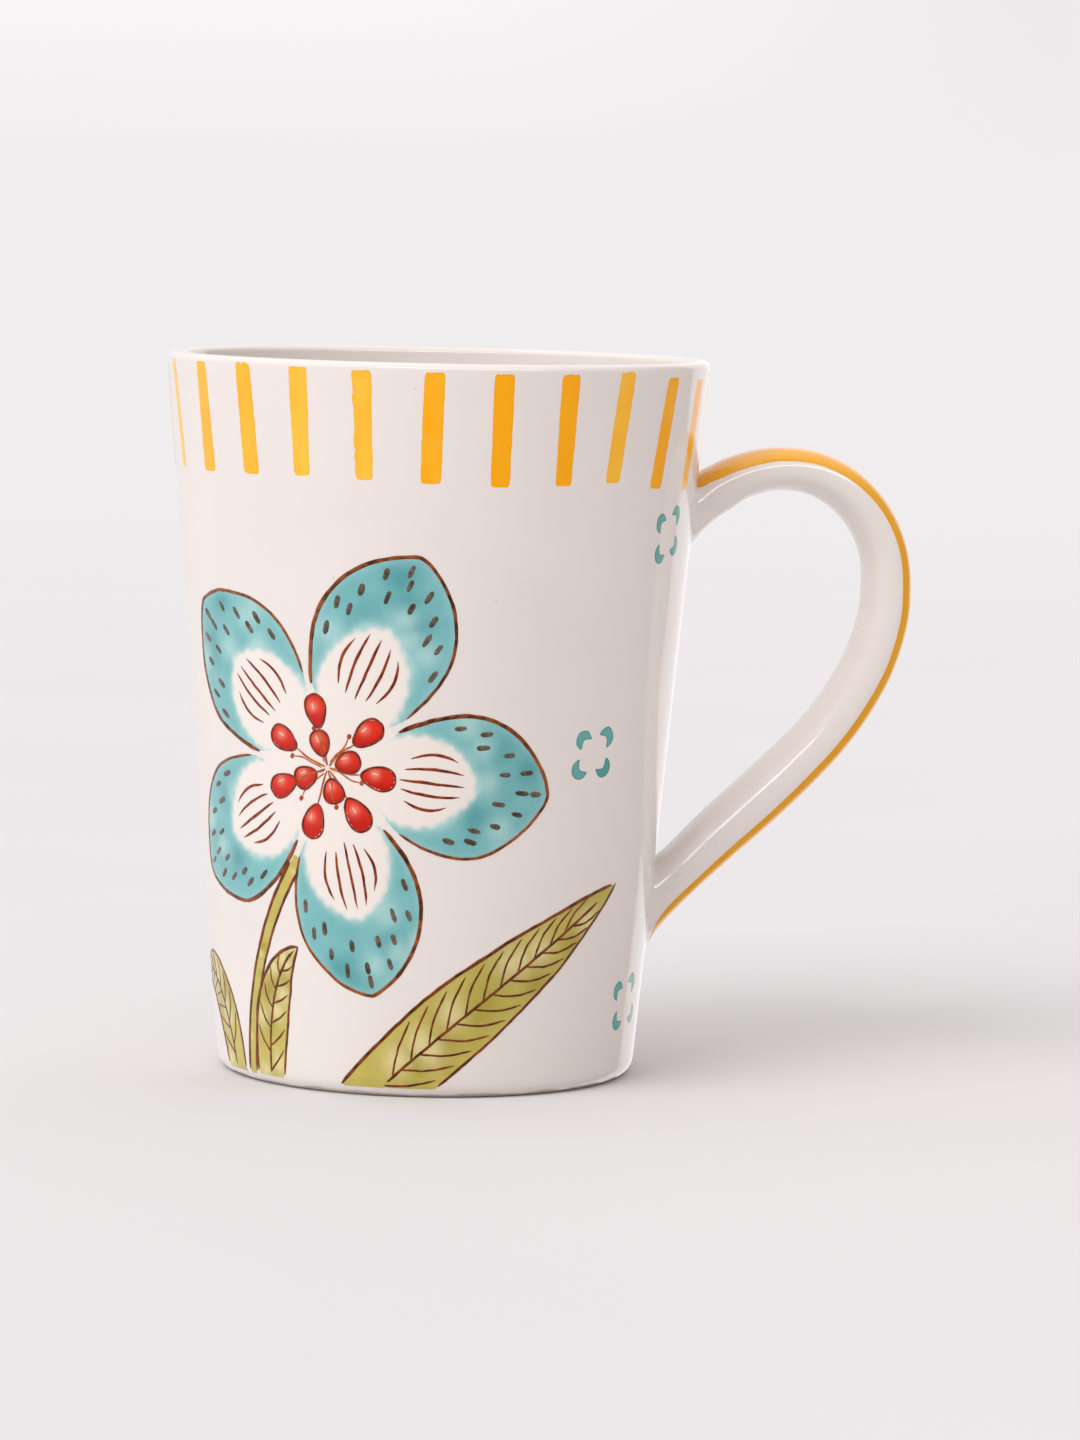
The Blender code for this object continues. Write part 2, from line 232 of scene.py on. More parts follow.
def finish_piece(piece, slot, *nodes):
    """Fix a piece to the mug and hide the CAD nodes it stands for. The finish's name, slot, is not used."""
    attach(piece, "root")
    if nodes:
        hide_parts(*nodes)


# A stroke's section: places across its half width, and how much of its height it has there
DOME = ((-1.0, 0.0), (-0.82, 0.55), (-0.4, 0.92), (0.0, 1.0), (0.4, 0.92), (0.82, 0.55), (1.0, 0.0))
PEN_HEIGHT = 0.035
DAB_HEIGHT = 0.04


class Strokes:
    """Domed painted lines, gathered into one mesh."""

    def __init__(self):
        self.points = []
        self.faces = []
        self.heavy = []
        self.count = 0

    def add(self, line, widths, lift, height, heavy):
        """One line in the drawing plane, with its width and its heaviness at each point."""
        line = np.asarray(line, float)
        n = len(line)
        side = left_of(unit(np.gradient(line, axis=0)))
        half = np.asarray(widths, float)[:, None] / 2
        for across, up in DOME:
            flat = line + side * half * across
            rise = np.full(n, lift + height * up if up else -EMBED)
            self.points.append(on_wall(flat[:, 0], flat[:, 1], rise))
            self.heavy.append(np.broadcast_to(heavy, (n,)))
        k = len(DOME)
        base = self.count

        def at(ring, i):
            return base + (i % k) * n + ring

        for ring in range(n - 1):
            for i in range(k):
                self.faces.append((at(ring, i), at(ring, i + 1), at(ring + 1, i + 1), at(ring + 1, i)))
        self.faces.append([at(0, i) for i in range(k)][::-1])
        self.faces.append([at(n - 1, i) for i in range(k)])
        self.count += k * n

    def build(self, name, material, slot):
        points = np.vstack(self.points)
        piece = add_mesh(name, points, self.faces, material, values={"heavy": np.concatenate(self.heavy)})
        outward_faces(piece)
        finish_piece(piece, slot)


def outward_faces(piece):
    """Turn every closed shell of the piece so that its faces look out."""
    bm = bmesh.new()
    bm.from_mesh(piece.data)
    bmesh.ops.recalc_face_normals(bm, faces=bm.faces)
    bm.to_mesh(piece.data)
    bm.free()


def pen(strokes, points, width, lift, seed, heavy, taper, spacing=0.3):
    """A drawn line: width is one number or one for each point, and taper is how thin each end gets."""
    points = np.asarray(points, float)
    width = np.broadcast_to(np.asarray(width, float), (len(points),))
    heavy = np.broadcast_to(np.asarray(heavy, float), (len(points),))
    line = smooth_line(np.column_stack([points, width, heavy]), spacing)
    n = len(line)
    length = np.linspace(0, (n - 1) * spacing, n)
    widths = np.maximum(line[:, 2], 0.05)
    ends = np.minimum(length, length[::-1])
    first, last = taper
    reach = 1.6
    start = first + (1 - first) * smoothstep(0, reach, length)
    finish = last + (1 - last) * smoothstep(0, reach, length[::-1])
    tip = np.sqrt(np.clip(ends / 0.25, 0.04, 1))
    widths = widths * start * finish * tip * (1 + 0.12 * wobble(n, seed, 4))
    drift = 0.05 * wobble(n, seed + 501, 5)
    side = left_of(unit(np.gradient(line[:, :2], axis=0)))
    strokes.add(line[:, :2] + side * drift[:, None], widths, lift, PEN_HEIGHT, line[:, 3])


def dab(strokes, x, z, half_length, width, angle, lift, seed, heavy, height=DAB_HEIGHT):
    """A short brush dab with round ends."""
    turn = math.radians(angle)
    steps = 11
    t = np.linspace(-1, 1, steps)
    bend = 0.06 * half_length * wobble(3, seed, 1)[1] * (1 - t ** 2)
    along = np.array([math.cos(turn), math.sin(turn)])
    line = np.array([x, z]) + t[:, None] * half_length * along + bend[:, None] * left_of(along)
    widths = width * np.clip(1 - np.abs(t) ** 3.2, 0.02, 1) ** 0.5 * (1 + 0.12 * wobble(steps, seed + 77, 2))
    strokes.add(line, widths, lift, height, heavy)


def patch(name, line, lift, spacing, material, slot, values, *nodes):
    """A thin layer of paint on the wall, inside a closed line.

    values is a function from drawing-plane points and their distance inside the edge to attributes.
    """
    low, high = line.min(0), line.max(0)
    rows = []
    row = 0
    z = low[1]
    while z < high[1]:
        x = np.arange(low[0] + (spacing / 2 if row % 2 else 0.0), high[0], spacing)
        rows.append(np.column_stack([x, np.full(len(x), z)]))
        z += spacing * 0.866
        row += 1
    grid = np.vstack(rows)
    grid = grid[signed_distance(grid, line) < -0.55 * spacing]
    flat = np.vstack([line, grid])
    ring = list(range(len(line)))
    made = delaunay_2d_cdt([Vector(p) for p in flat], [], [ring], 1, 1e-6)
    flat = np.array([tuple(v) for v in made[0]])
    upper = []
    for a, b, c in made[2]:
        area = np.cross(flat[b] - flat[a], flat[c] - flat[a])
        upper.append((a, b, c) if area > 0 else (a, c, b))
    edges = {(f[i], f[(i + 1) % 3]) for f in upper for i in range(3)}
    rim = [(a, b) for a, b in sorted(edges) if (b, a) not in edges]
    is_rim = np.zeros(len(flat), bool)
    is_rim[[a for a, b in rim]] = True
    depth = segment_distance(flat, line, True)
    top = on_wall(flat[:, 0], flat[:, 1], np.where(is_rim, -RIM_SINK, lift))
    under = on_wall(flat[:, 0], flat[:, 1], -UNDERSIDE)
    n = len(flat)
    faces = list(upper)
    faces += [(c + n, b + n, a + n) for a, b, c in upper]
    faces += [(a, a + n, b + n, b) for a, b in rim]
    normal = wall_normal(flat[:, 0], flat[:, 1])
    numbers = {key: np.tile(np.broadcast_to(v, (n,)), 2) for key, v in values(flat, depth).items()}
    piece = add_mesh(name, np.vstack([top, under]), faces, material, np.vstack([normal, -normal]), numbers)
    finish_piece(piece, slot, *nodes)


# ---- materials
def srgb(code):
    """A colour written as six hexadecimal digits, in linear light."""
    parts = [int(code[i:i + 2], 16) / 255 for i in (0, 2, 4)]
    return tuple(p / 12.92 if p <= 0.04045 else ((p + 0.055) / 1.055) ** 2.4 for p in parts)


def add_node(tree, kind, inputs, **settings):
    """A shader node whose sockets get numbers, colours, vectors or other nodes' outputs."""
    node = tree.nodes.new(kind)
    for name, value in settings.items():
        setattr(node, name, value)
    for name, value in inputs.items():
        socket = node.inputs[name]
        if isinstance(value, bpy.types.NodeSocket):
            tree.links.new(value, socket)
        else:
            socket.default_value = (*value, 1.0) if socket.type == "RGBA" else value
    return node


def add_maths(tree, operation, *values, clamp=False):
    node = add_node(tree, "ShaderNodeMath", dict(enumerate(values)), operation=operation, use_clamp=clamp)
    return node.outputs["Value"]


def add_mix(tree, share, a, b):
    """The colour that lies share of the way from a to b."""
    return add_node(tree, "ShaderNodeMix", {"Factor": share, 6: a, 7: b}, data_type="RGBA").outputs[2]


class Finish:
    """A procedural material being put together."""

    def __init__(self, name, roughness):
        self.material = bpy.data.materials.new(name)
        self.material.use_nodes = True
        self.tree = self.material.node_tree
        self.shader = self.tree.nodes["Principled BSDF"]
        self.shader.inputs["Roughness"].default_value = roughness
        self.shader.inputs["IOR"].default_value = 1.5
        self.place = self.tree.nodes.new("ShaderNodeTexCoord").outputs["Object"]

    def node(self, kind, inputs, **settings):
        return add_node(self.tree, kind, inputs, **settings)

    def link(self, source, target):
        self.tree.links.new(source, target)

    def noise(self, scale, detail, low, high, stretch=(1.0, 1.0, 1.0)):
        """Noise with about scale lumps to the metre, spread from 0 at low to 1 at high."""
        mapping = self.node("ShaderNodeMapping", {"Vector": self.place, "Scale": stretch})
        noise = self.node("ShaderNodeTexNoise", {"Vector": mapping.outputs["Vector"], "Scale": scale,
                                                 "Detail": detail})
        return self.spread(noise.outputs["Fac"], low, high)

    def spread(self, value, low, high, start=0.0, end=1.0):
        """From start to end, softly, as the value goes from low to high."""
        limits = {"Value": value, "From Min": low, "From Max": high, "To Min": start, "To Max": end}
        return self.node("ShaderNodeMapRange", limits, interpolation_type="SMOOTHSTEP").outputs["Result"]

    def attribute(self, name):
        return self.node("ShaderNodeAttribute", {}, attribute_name=name).outputs["Fac"]

    def maths(self, operation, a, b):
        return add_maths(self.tree, operation, a, b, clamp=True)

    def mix(self, share, a, b):
        return add_mix(self.tree, share, a, b)

    def colour(self, value):
        self.link(value, self.shader.inputs["Base Color"])

    def bump(self, height, distance):
        bump = self.node("ShaderNodeBump", {"Height": height, "Distance": distance})
        self.link(bump.outputs["Normal"], self.shader.inputs["Normal"])

    def height_above_table(self):
        return self.node("ShaderNodeSeparateXYZ", {"Vector": self.place}).outputs["Z"]


GLAZE = (0.828, 0.768, 0.730)
GLAZE_THICK = (0.808, 0.750, 0.714)
GLAZE_ROUGHNESS = 0.10
STRAP_ROUGHNESS = 0.07
SPECK = (0.45, 0.36, 0.29)
GROUND_WHITE = (0.86, 0.79, 0.742)
BARE_CLAY = (0.60, 0.54, 0.47)
BARE_CLAY_ROUGHNESS = 0.75
PAINT_ROUGHNESS = 0.14
WASH_ROUGHNESS = 0.12
INK_ROUGHNESS = 0.18
WAVE_HEIGHT = 0.00012


def glaze_colour(finish, white=GLAZE, thick=GLAZE_THICK):
    """White glaze, a little uneven, with rare pinholes."""
    cloud = finish.noise(28.0, 2.0, 0.35, 0.65)
    speck = finish.noise(900.0, 1.0, 0.80, 0.86)
    return finish.mix(finish.maths("MULTIPLY", speck, 0.6), finish.mix(cloud, white, thick), SPECK)


def glaze_surface(finish):
    """Faint waves in the glaze."""
    finish.bump(finish.noise(75.0, 2.0, 0.0, 1.0), WAVE_HEIGHT)


def glazed_clay():
    """The cup's glaze, with bare clay in a ragged line round the very foot."""
    finish = Finish("glazed_clay", GLAZE_ROUGHNESS)
    colour = glaze_colour(finish)
    grain = finish.noise(1800.0, 2.0, 0.3, 0.7)
    bare = finish.mix(grain, BARE_CLAY, tuple(c * 0.85 for c in BARE_CLAY))
    ragged = finish.maths("MULTIPLY", finish.noise(220.0, 2.0, 0.2, 0.8), 0.0005)
    unglazed = finish.spread(finish.maths("SUBTRACT", finish.height_above_table(), ragged), 0.0007, 0.0002)
    finish.colour(finish.mix(unglazed, colour, bare))
    roughness = finish.spread(unglazed, 0.0, 1.0, GLAZE_ROUGHNESS, BARE_CLAY_ROUGHNESS)
    finish.link(roughness, finish.shader.inputs["Roughness"])
    glaze_surface(finish)
    return finish.material


def strap_glaze():
    finish = Finish("glazed_strap", STRAP_ROUGHNESS)
    finish.colour(glaze_colour(finish))
    glaze_surface(finish)
    return finish.material


def wash_paint(name, middle, deep, pale, ground=GROUND_WHITE):
    """Watery paint: attributes say where it covers (wash), pools (deep) and thins (pale)."""
    finish = Finish(name, WASH_ROUGHNESS)
    brush = finish.noise(260.0, 4.0, 0.30, 0.70)
    fine = finish.noise(1400.0, 2.0, 0.30, 0.75)
    pool = finish.maths("ADD", finish.attribute("deep"), finish.maths("MULTIPLY", brush, 0.28))
    colour = finish.mix(finish.maths("MULTIPLY", pool, 0.9), middle, deep)
    colour = finish.mix(finish.attribute("pale"), colour, pale)
    colour = finish.mix(finish.maths("MULTIPLY", fine, 0.10), colour, deep)
    finish.colour(finish.mix(finish.attribute("wash"), glaze_colour(finish, ground, ground), colour))
    glaze_surface(finish)
    return finish.material


def ink(name, dark, light, scale=900.0):
    """Brush-pen line that breaks from dark to light; the attribute heavy pushes it to dark."""
    finish = Finish(name, INK_ROUGHNESS)
    broken = finish.maths("MULTIPLY", finish.noise(scale, 3.0, 0.32, 0.68), 0.65)
    weight = finish.maths("ADD", broken, finish.maths("MULTIPLY", finish.attribute("heavy"), 0.7))
    finish.colour(finish.mix(weight, light, dark))
    return finish.material


def flat_paint(name, thin, full, edge_colour, stretch=(1.0, 1.0, 0.25)):
    """Opaque brush stroke: tint runs from thin to full, and edge is the pooled colour at its rim."""
    finish = Finish(name, PAINT_ROUGHNESS)
    brush = finish.noise(420.0, 4.0, 0.30, 0.70, stretch)
    fine = finish.noise(2200.0, 2.0, 0.35, 0.75)
    tint = finish.maths("ADD", finish.attribute("tint"), finish.maths("MULTIPLY", brush, 0.22))
    colour = finish.mix(tint, thin, full)
    colour = finish.mix(finish.maths("MULTIPLY", finish.attribute("edge"), 0.75), colour, edge_colour)
    colour = finish.mix(finish.maths("MULTIPLY", fine, 0.06), colour, edge_colour)
    finish.colour(colour)
    glaze_surface(finish)
    return finish.material


MATERIALS = {
    "cup": glazed_clay(),
    "strap": strap_glaze(),
    "turquoise": wash_paint("turquoise_wash", srgb("80bdbf"), srgb("569fa3"), srgb("b2d8d6")),
    "green": wash_paint("olive_wash", srgb("c9ba62"), srgb("a09131"), srgb("e9dca4"), ground=GLAZE),
    "red": wash_paint("red_wash", srgb("e0301c"), srgb("b3140c"), srgb("f49a80")),
    "outline": ink("outline_ink", srgb("4a2410"), srgb("b5622c"), scale=600.0),
    "rust": ink("rust_ink", srgb("6a200e"), srgb("b04f22"), scale=700.0),
    "spot": ink("spot_ink", srgb("4c3f33"), srgb("7d7264")),
    "leaf_ink": ink("leaf_ink", srgb("572a10"), srgb("a3541f"), scale=600.0),
    "filament": ink("filament_ink", srgb("a3421a"), srgb("cf7a35")),
    "yellow": flat_paint("yellow_paint", srgb("ffcd4c"), srgb("ffae0c"), srgb("f59a0a")),
    "amber": flat_paint("amber_paint", srgb("f9c03a"), srgb("eea714"), srgb("dc910e")),
    "light": ink("light_ink", srgb("f2a38c"), srgb("ffe2d4")),
    "teal": flat_paint("teal_paint", srgb("7ab8b1"), srgb("4f9f9a"), srgb("2f7673"), (1.0, 1.0, 1.0)),
}


# ---- clay
def arc(centre, radius, start, end, steps):
    """Profile points along an arc, with its angles in degrees."""
    turn = np.radians(np.linspace(start, end, steps + 1))
    return [(centre[0] + radius * math.cos(a), centre[1] + radius * math.sin(a)) for a in turn]


def cup_profile():
    """Half section from the middle of the underside, up the wall, over the lip and down to the floor."""
    soft = 0.5
    lip_z = HEIGHT - LIP_RADIUS
    lip_x = WIDEST_RADIUS - LIP_RADIUS
    corner_z = FLOOR_TOP + FLOOR_CORNER
    corner_x = float(wall_radius(corner_z)) - WALL_THICKNESS - FLOOR_CORNER
    profile = [(0.0, FOOT_RECESS), (12.0, FOOT_RECESS), (FOOT_INNER - 3.0, FOOT_RECESS)]
    profile += arc((FOOT_INNER - 1.2 - soft, FOOT_RECESS - soft), soft, 90, 30, 3)
    profile += arc((FOOT_INNER + soft, soft), soft, 210, 270, 3)
    profile += arc((FOOT_OUTER, FOOT_CORNER), FOOT_CORNER, -90, -4, 10)
    for z in np.arange(FOOT_CORNER + 0.4, lip_z - 0.5, 2.4):
        profile.append((float(wall_radius(z)), z))
    profile += arc((lip_x, lip_z), LIP_RADIUS, -5, 90, 10)
    profile += arc((WIDEST_RADIUS - LIP_THICKNESS + LIP_RADIUS, lip_z), LIP_RADIUS, 90, 176, 9)
    for z in np.arange(lip_z - 1.0, corner_z + 1.0, -2.6):
        share = float(smoothstep(0.0, LIP_TAPER, lip_z - z))
        thickness = LIP_THICKNESS + (WALL_THICKNESS - LIP_THICKNESS) * share
        profile.append((float(wall_radius(z)) - thickness, z))
    profile += arc((corner_x, corner_z), FLOOR_CORNER, -5, -90, 12)
    profile += [(16.0, FLOOR_TOP), (0.0, FLOOR_TOP)]
    return profile


def make_cup():
    """Wall, floor and foot ring turned on the wheel."""
    profile = cup_profile()
    turn = 2 * math.pi * np.arange(TURNED_STEPS) / TURNED_STEPS
    points = []
    for radius, z in profile[1:-1]:
        points.append(np.stack([AXIS_X + radius * np.cos(turn), radius * np.sin(turn),
                                np.full(TURNED_STEPS, z)], 1))
    points = np.vstack(points + [[(AXIS_X, 0.0, profile[0][1])], [(AXIS_X, 0.0, profile[-1][1])]])
    rings = len(profile) - 2
    faces = tube_faces(rings, TURNED_STEPS)
    last = (rings - 1) * TURNED_STEPS
    for i in range(TURNED_STEPS):
        j = (i + 1) % TURNED_STEPS
        faces.append((j, i, rings * TURNED_STEPS))
        faces.append((last + i, last + j, rings * TURNED_STEPS + 1))
    cup = add_mesh("cup", points, faces, MATERIALS["cup"])
    outward_faces(cup)
    finish_piece(cup, "white_glazed_stoneware", "cup_body")


# The strap: (distance from the mug's axis, height, thickness) down its middle line
STRAP = [
    (47.5, 98.0, 8.0), (51.5, 100.2, 7.4), (57.0, 101.6, 7.3), (63.0, 101.4, 7.4), (68.2, 99.3, 7.5),
    (72.2, 96.0, 7.5), (75.0, 92.0, 7.5), (76.7, 87.5, 7.6), (77.2, 82.5, 7.9), (76.8, 76.5, 8.1),
    (74.5, 69.0, 8.3), (70.8, 62.2, 8.4), (66.6, 56.6, 8.6), (61.3, 51.0, 8.8), (55.5, 45.5, 8.9),
    (49.4, 40.0, 8.7), (44.3, 35.1, 8.2),
]
STRAP_WIDTH = 14.0
SQUARENESS = 2.4
STRAP_SPACING = 0.9
SECTION_STEPS = 96
SECTION_ANGLES = 2 * np.pi * np.arange(SECTION_STEPS) / SECTION_STEPS
FLARE_STEPS = 16
# Where the flares meet the wall: (height of the middle, half height, half width)
UPPER_PAD = (93.0, 7.5, 9.5)
LOWER_PAD = (26.8, 9.2, 9.0)
# The yellow stroke's two edges round the section, in degrees, at places along it
BAND_PLACES = (0.0, 0.06, 0.14, 0.25, 0.45, 0.96, 1.0)
BAND_NEAR_EDGE = (-34.0, -54.0, -68.0, -74.0, -75.0, -69.0, -52.0)
BAND_FAR_EDGE = (-14.0, 10.0, 30.0, 44.0, 46.0, 44.0, 10.0)
BAND_TINT = 0.7
# How many rings of each flare the stroke runs on to
BAND_INTO_UPPER_FLARE = 14
BAND_INTO_LOWER_FLARE = 13


def section_ring(middle, direction, thickness):
    """The strap's rounded section about a point of its middle line; angle 0 is the outer face."""
    outward = np.array([-direction[2], 0.0, direction[0]])
    cosine, sine = np.cos(SECTION_ANGLES), np.sin(SECTION_ANGLES)
    out = np.sign(cosine) * np.abs(cosine) ** (2 / SQUARENESS) * thickness / 2
    side = np.sign(sine) * np.abs(sine) ** (2 / SQUARENESS) * STRAP_WIDTH / 2
    return middle + out[:, None] * outward + side[:, None] * np.array([0.0, 1.0, 0.0])


def wall_ring(pad, upright):
    """The outline of a flare on the wall, and the way its skin runs there."""
    pad_z, half_height, half_width = pad
    z = pad_z + upright * half_height * np.cos(SECTION_ANGLES)
    side = half_width * np.sin(SECTION_ANGLES)
    angle = side / wall_radius(z)
    radius = wall_radius(z) - 0.12
    ring = np.stack([AXIS_X + radius * np.cos(angle), radius * np.sin(angle), z], 1)
    middle_radius = float(wall_radius(pad_z))
    away = ring - np.array([AXIS_X + middle_radius, 0.0, pad_z])
    away[:, 0] = WALL_SLOPE * away[:, 2] - away[:, 1] ** 2 / (2 * middle_radius)
    return ring, unit(away)


def flare(ring, heading, pad, upright):
    """Rings of the fillet from the strap's end to the wall."""
    landing, away = wall_ring(pad, upright)
    reach = np.linalg.norm(landing - ring, axis=1, keepdims=True)
    leave = heading[None] * reach * 1.15
    arrive = away * reach * 0.75
    rings = []
    for t in np.linspace(0, 1, FLARE_STEPS + 1)[1:]:
        rings.append((2 * t ** 3 - 3 * t ** 2 + 1) * ring + (t ** 3 - 2 * t ** 2 + t) * leave
                     + (3 * t ** 2 - 2 * t ** 3) * landing + (t ** 3 - t ** 2) * arrive)
    return rings


def strap_rings():
    """All rings from the upper landing to the lower one, and where the strap itself begins and ends."""
    line = smooth_line(STRAP, STRAP_SPACING)
    middle = np.stack([AXIS_X + line[:, 0], np.zeros(len(line)), line[:, 1]], 1)
    direction = unit(np.gradient(middle, axis=0))
    strap = [section_ring(m, d, t) for m, d, t in zip(middle, direction, line[:, 2])]
    upper = flare(strap[0], -direction[0], UPPER_PAD, 1)[::-1]
    lower = flare(strap[-1], direction[-1], LOWER_PAD, -1)
    return np.array(upper + strap + lower), len(upper), len(upper) + len(strap) - 1


def grid_normals(rings):
    """Outward normals of a tube of rings."""
    along = np.gradient(rings, axis=0)
    around = (np.roll(rings, -1, 1) - np.roll(rings, 1, 1)) / 2
    normal = unit(np.cross(around, along))
    outward = rings - rings.mean(1, keepdims=True)
    if (normal * outward).sum() < 0:
        normal = -normal
    return normal


def tube_piece(name, rings, normals, node):
    """One closed length of the strap, shaded as part of the whole."""
    count, steps = rings.shape[:2]
    caps = [tuple(range(steps)), tuple((count - 1) * steps + i for i in range(steps))]
    piece = add_mesh(name, rings.reshape(-1, 3), tube_faces(count, steps) + caps, MATERIALS["strap"])
    outward_faces(piece)
    mesh = piece.data
    flat = normals.reshape(-1, 3)
    loops = []
    for polygon in mesh.polygons:
        if len(polygon.vertices) == 4:
            loops += [tuple(flat[v]) for v in polygon.vertices]
        else:
            loops += [tuple(polygon.normal)] * len(polygon.vertices)
    mesh.normals_split_custom_set(loops)
    finish_piece(piece, "white_glazed_stoneware", node)


def make_handle():
    """The strap and its two flares, and the yellow stroke on them."""
    rings, start, end = strap_rings()
    normals = grid_normals(rings)
    spans = {
        ("upper_flare", "upper_slip_joint"): (0, start),
        ("handle_strap", "handle"): (start, end),
        ("lower_flare", "lower_slip_joint"): (end, len(rings) - 1),
    }
    for (name, node), (first, last) in spans.items():
        tube_piece(name, rings[first:last + 1], normals[first:last + 1], node)
    make_band(rings, normals, start - BAND_INTO_UPPER_FLARE, end + BAND_INTO_LOWER_FLARE)


def round_section(turn, ring):
    """A ring's points at given angles round the section."""
    return np.stack([np.interp(turn, SECTION_ANGLES, ring[:, c], period=2 * np.pi) for c in range(3)], 1)


def make_band(rings, normals, first, last):
    """The yellow stroke down the strap's outer face, from ring first to ring last."""
    across = 18
    count = last - first + 1
    share = np.linspace(0, 1, count)
    near = np.radians(np.interp(share, BAND_PLACES, BAND_NEAR_EDGE)) * (1 + 0.02 * wobble(count, 31, 9))
    far = np.radians(np.interp(share, BAND_PLACES, BAND_FAR_EDGE)) + 0.03 * wobble(count, 32, 9)
    ends = np.minimum(np.arange(count), np.arange(count)[::-1])
    close = np.clip(ends / 3.0, 0.12, 1) ** 0.6
    top, under, tint, edge = [], [], [], []
    for k in range(count):
        middle = (near[k] + far[k]) / 2
        half = (far[k] - near[k]) / 2 * close[k]
        turn = np.linspace(middle - half, middle + half, across + 1)
        ring, normal = rings[first + k], normals[first + k]
        place = round_section(turn, ring)
        facing = round_section(turn, normal)
        off_middle = np.abs(np.linspace(-1, 1, across + 1))
        rise = np.where((off_middle > 0.999) | (k in (0, count - 1)), -EMBED, BAND_LIFT)
        top.append(place + facing * rise[:, None])
        under.append(place - facing * UNDERSIDE)
        tint.append(np.full(across + 1, BAND_TINT))
        edge.append(smoothstep(0.72, 1.0, off_middle))
    steps = across + 1
    n = count * steps
    faces = []
    for k in range(count - 1):
        for a in range(k * steps, k * steps + across):
            faces.append((a, a + 1, a + 1 + steps, a + steps))
            faces.append((a + steps + n, a + 1 + steps + n, a + 1 + n, a + n))
        for a in (k * steps, k * steps + across):
            faces.append((a, a + steps, a + steps + n, a + n))
    for a in (*range(across), *range(n - steps, n - 1)):
        faces.append((a, a + 1, a + 1 + n, a + n))
    values = {"tint": np.tile(np.concatenate(tint), 2), "edge": np.tile(np.concatenate(edge), 2)}
    band = add_mesh("yellow_band", np.vstack(top + under), faces, MATERIALS["amber"], values=values)
    outward_faces(band)
    finish_piece(band, "yellow_enamel", "handle_band")


# ---- stripes and marks
STRIPE_COUNT = 25
STRIPE_PITCH = 2 * math.pi * DRAWING_RADIUS / STRIPE_COUNT
STRIPE_FIRST_X = -0.7
STRIPE_TOP = 118.6
STRIPE_BOTTOM = 101.1
# The strokes in front, each with its own lean: number; x at top left, top right, bottom right and
# bottom left; top; bottom; tint
STRIPES_BY_HAND = [
    (21, -53.7, -51.6, -49.3, -51.2, 118.9, 101.4, 0.15),
    (22, -42.8, -40.0, -38.8, -42.1, 118.9, 101.1, 0.62),
    (23, -32.8, -29.7, -28.6, -31.9, 119.1, 101.2, 0.50),
    (24, -22.7, -19.5, -19.4, -22.2, 118.9, 101.4, 0.30),
    (25, -12.7, -9.6, -9.4, -12.1, 118.7, 101.1, 0.30),
    (1, -2.1, 1.0, 0.7, -2.5, 118.6, 100.8, 0.70),
    (2, 7.9, 11.0, 10.9, 7.9, 118.5, 100.4, 1.0),
    (3, 18.1, 21.2, 20.8, 18.0, 118.5, 100.6, 0.95),
    (4, 28.4, 31.5, 29.8, 26.9, 118.9, 101.0, 0.35),
    (5, 39.2, 42.4, 40.0, 36.8, 117.8, 99.8, 0.8),
    (6, 49.4, 53.0, 49.8, 47.2, 117.3, 99.2, 0.8),
]


def stripe_outline(corners, top, bottom, seed, ragged):
    """A brush stroke's edge: slightly wavy sides and soft corners."""
    top_left, top_right, bottom_right, bottom_left = corners
    steps = 34
    t = np.linspace(0, 1, steps)
    corner = 0.18 * np.exp(-np.minimum(t, 1 - t) * 60)
    wave_a = ragged[0] * wobble(steps, seed, 2)
    wave_b = ragged[1] * wobble(steps, seed + 1, 2)
    left = np.column_stack([top_left + (bottom_left - top_left) * t + wave_a + corner,
                            top + (bottom - top) * t])
    right = np.column_stack([top_right + (bottom_right - top_right) * t + wave_b - corner,
                             top + (bottom - top) * t])
    ends = 6
    s = np.linspace(0, 1, ends + 2)[1:-1, None]
    foot = left[-1] * (1 - s) + right[-1] * s
    foot[:, 1] -= 0.10 + 0.08 * wobble(ends, seed + 2, 1)
    head = right[0] * (1 - s) + left[0] * s
    head[:, 1] += 0.08 + 0.08 * wobble(ends, seed + 3, 1)
    return np.vstack([left, foot, right[::-1], head])


def make_stripes():
    """Upright brush strokes below the rim, all the way round."""
    by_hand = {row[0]: row[1:] for row in STRIPES_BY_HAND}
    rng = np.random.default_rng(RNG_SEED)
    for number in range(1, STRIPE_COUNT + 1):
        middle = STRIPE_FIRST_X + (number - 1) * STRIPE_PITCH
        lean, tint = rng.uniform(-0.5, 0.5), rng.uniform(0.2, 0.95)
        wide = 1.55 + rng.uniform(-0.12, 0.12)
        row = (middle - wide + lean, middle + wide + lean, middle + wide - lean, middle - wide - lean,
               STRIPE_TOP + rng.uniform(-0.4, 0.4), STRIPE_BOTTOM + rng.uniform(-0.5, 0.5), tint)
        *corners, top, bottom, base = by_hand.get(number, row)
        ragged = (0.16, 0.05) if number == 25 else (0.05, 0.05)
        line = stripe_outline(corners, top, bottom, 40 * number, ragged)
        shift = 2 * math.pi * DRAWING_RADIUS
        line[:, 0] -= shift * round((line[:, 0].mean() - middle) / shift)

        def values(flat, depth, base=base, top=top, bottom=bottom, seed=number):
            run = (top - flat[:, 1]) / (top - bottom)
            drift = np.interp(run, np.linspace(0, 1, 9), wobble(9, 900 + seed, 2))
            return {"tint": np.clip(base + 0.14 * drift, 0, 1), "edge": 0.6 * smoothstep(0.35, 0.0, depth)}

        patch(f"stripe_{number:02d}", line, STRIPE_LIFT, 0.34, MATERIALS["yellow"], "yellow_enamel",
              values, f"rim_stripe_{number:02d}")


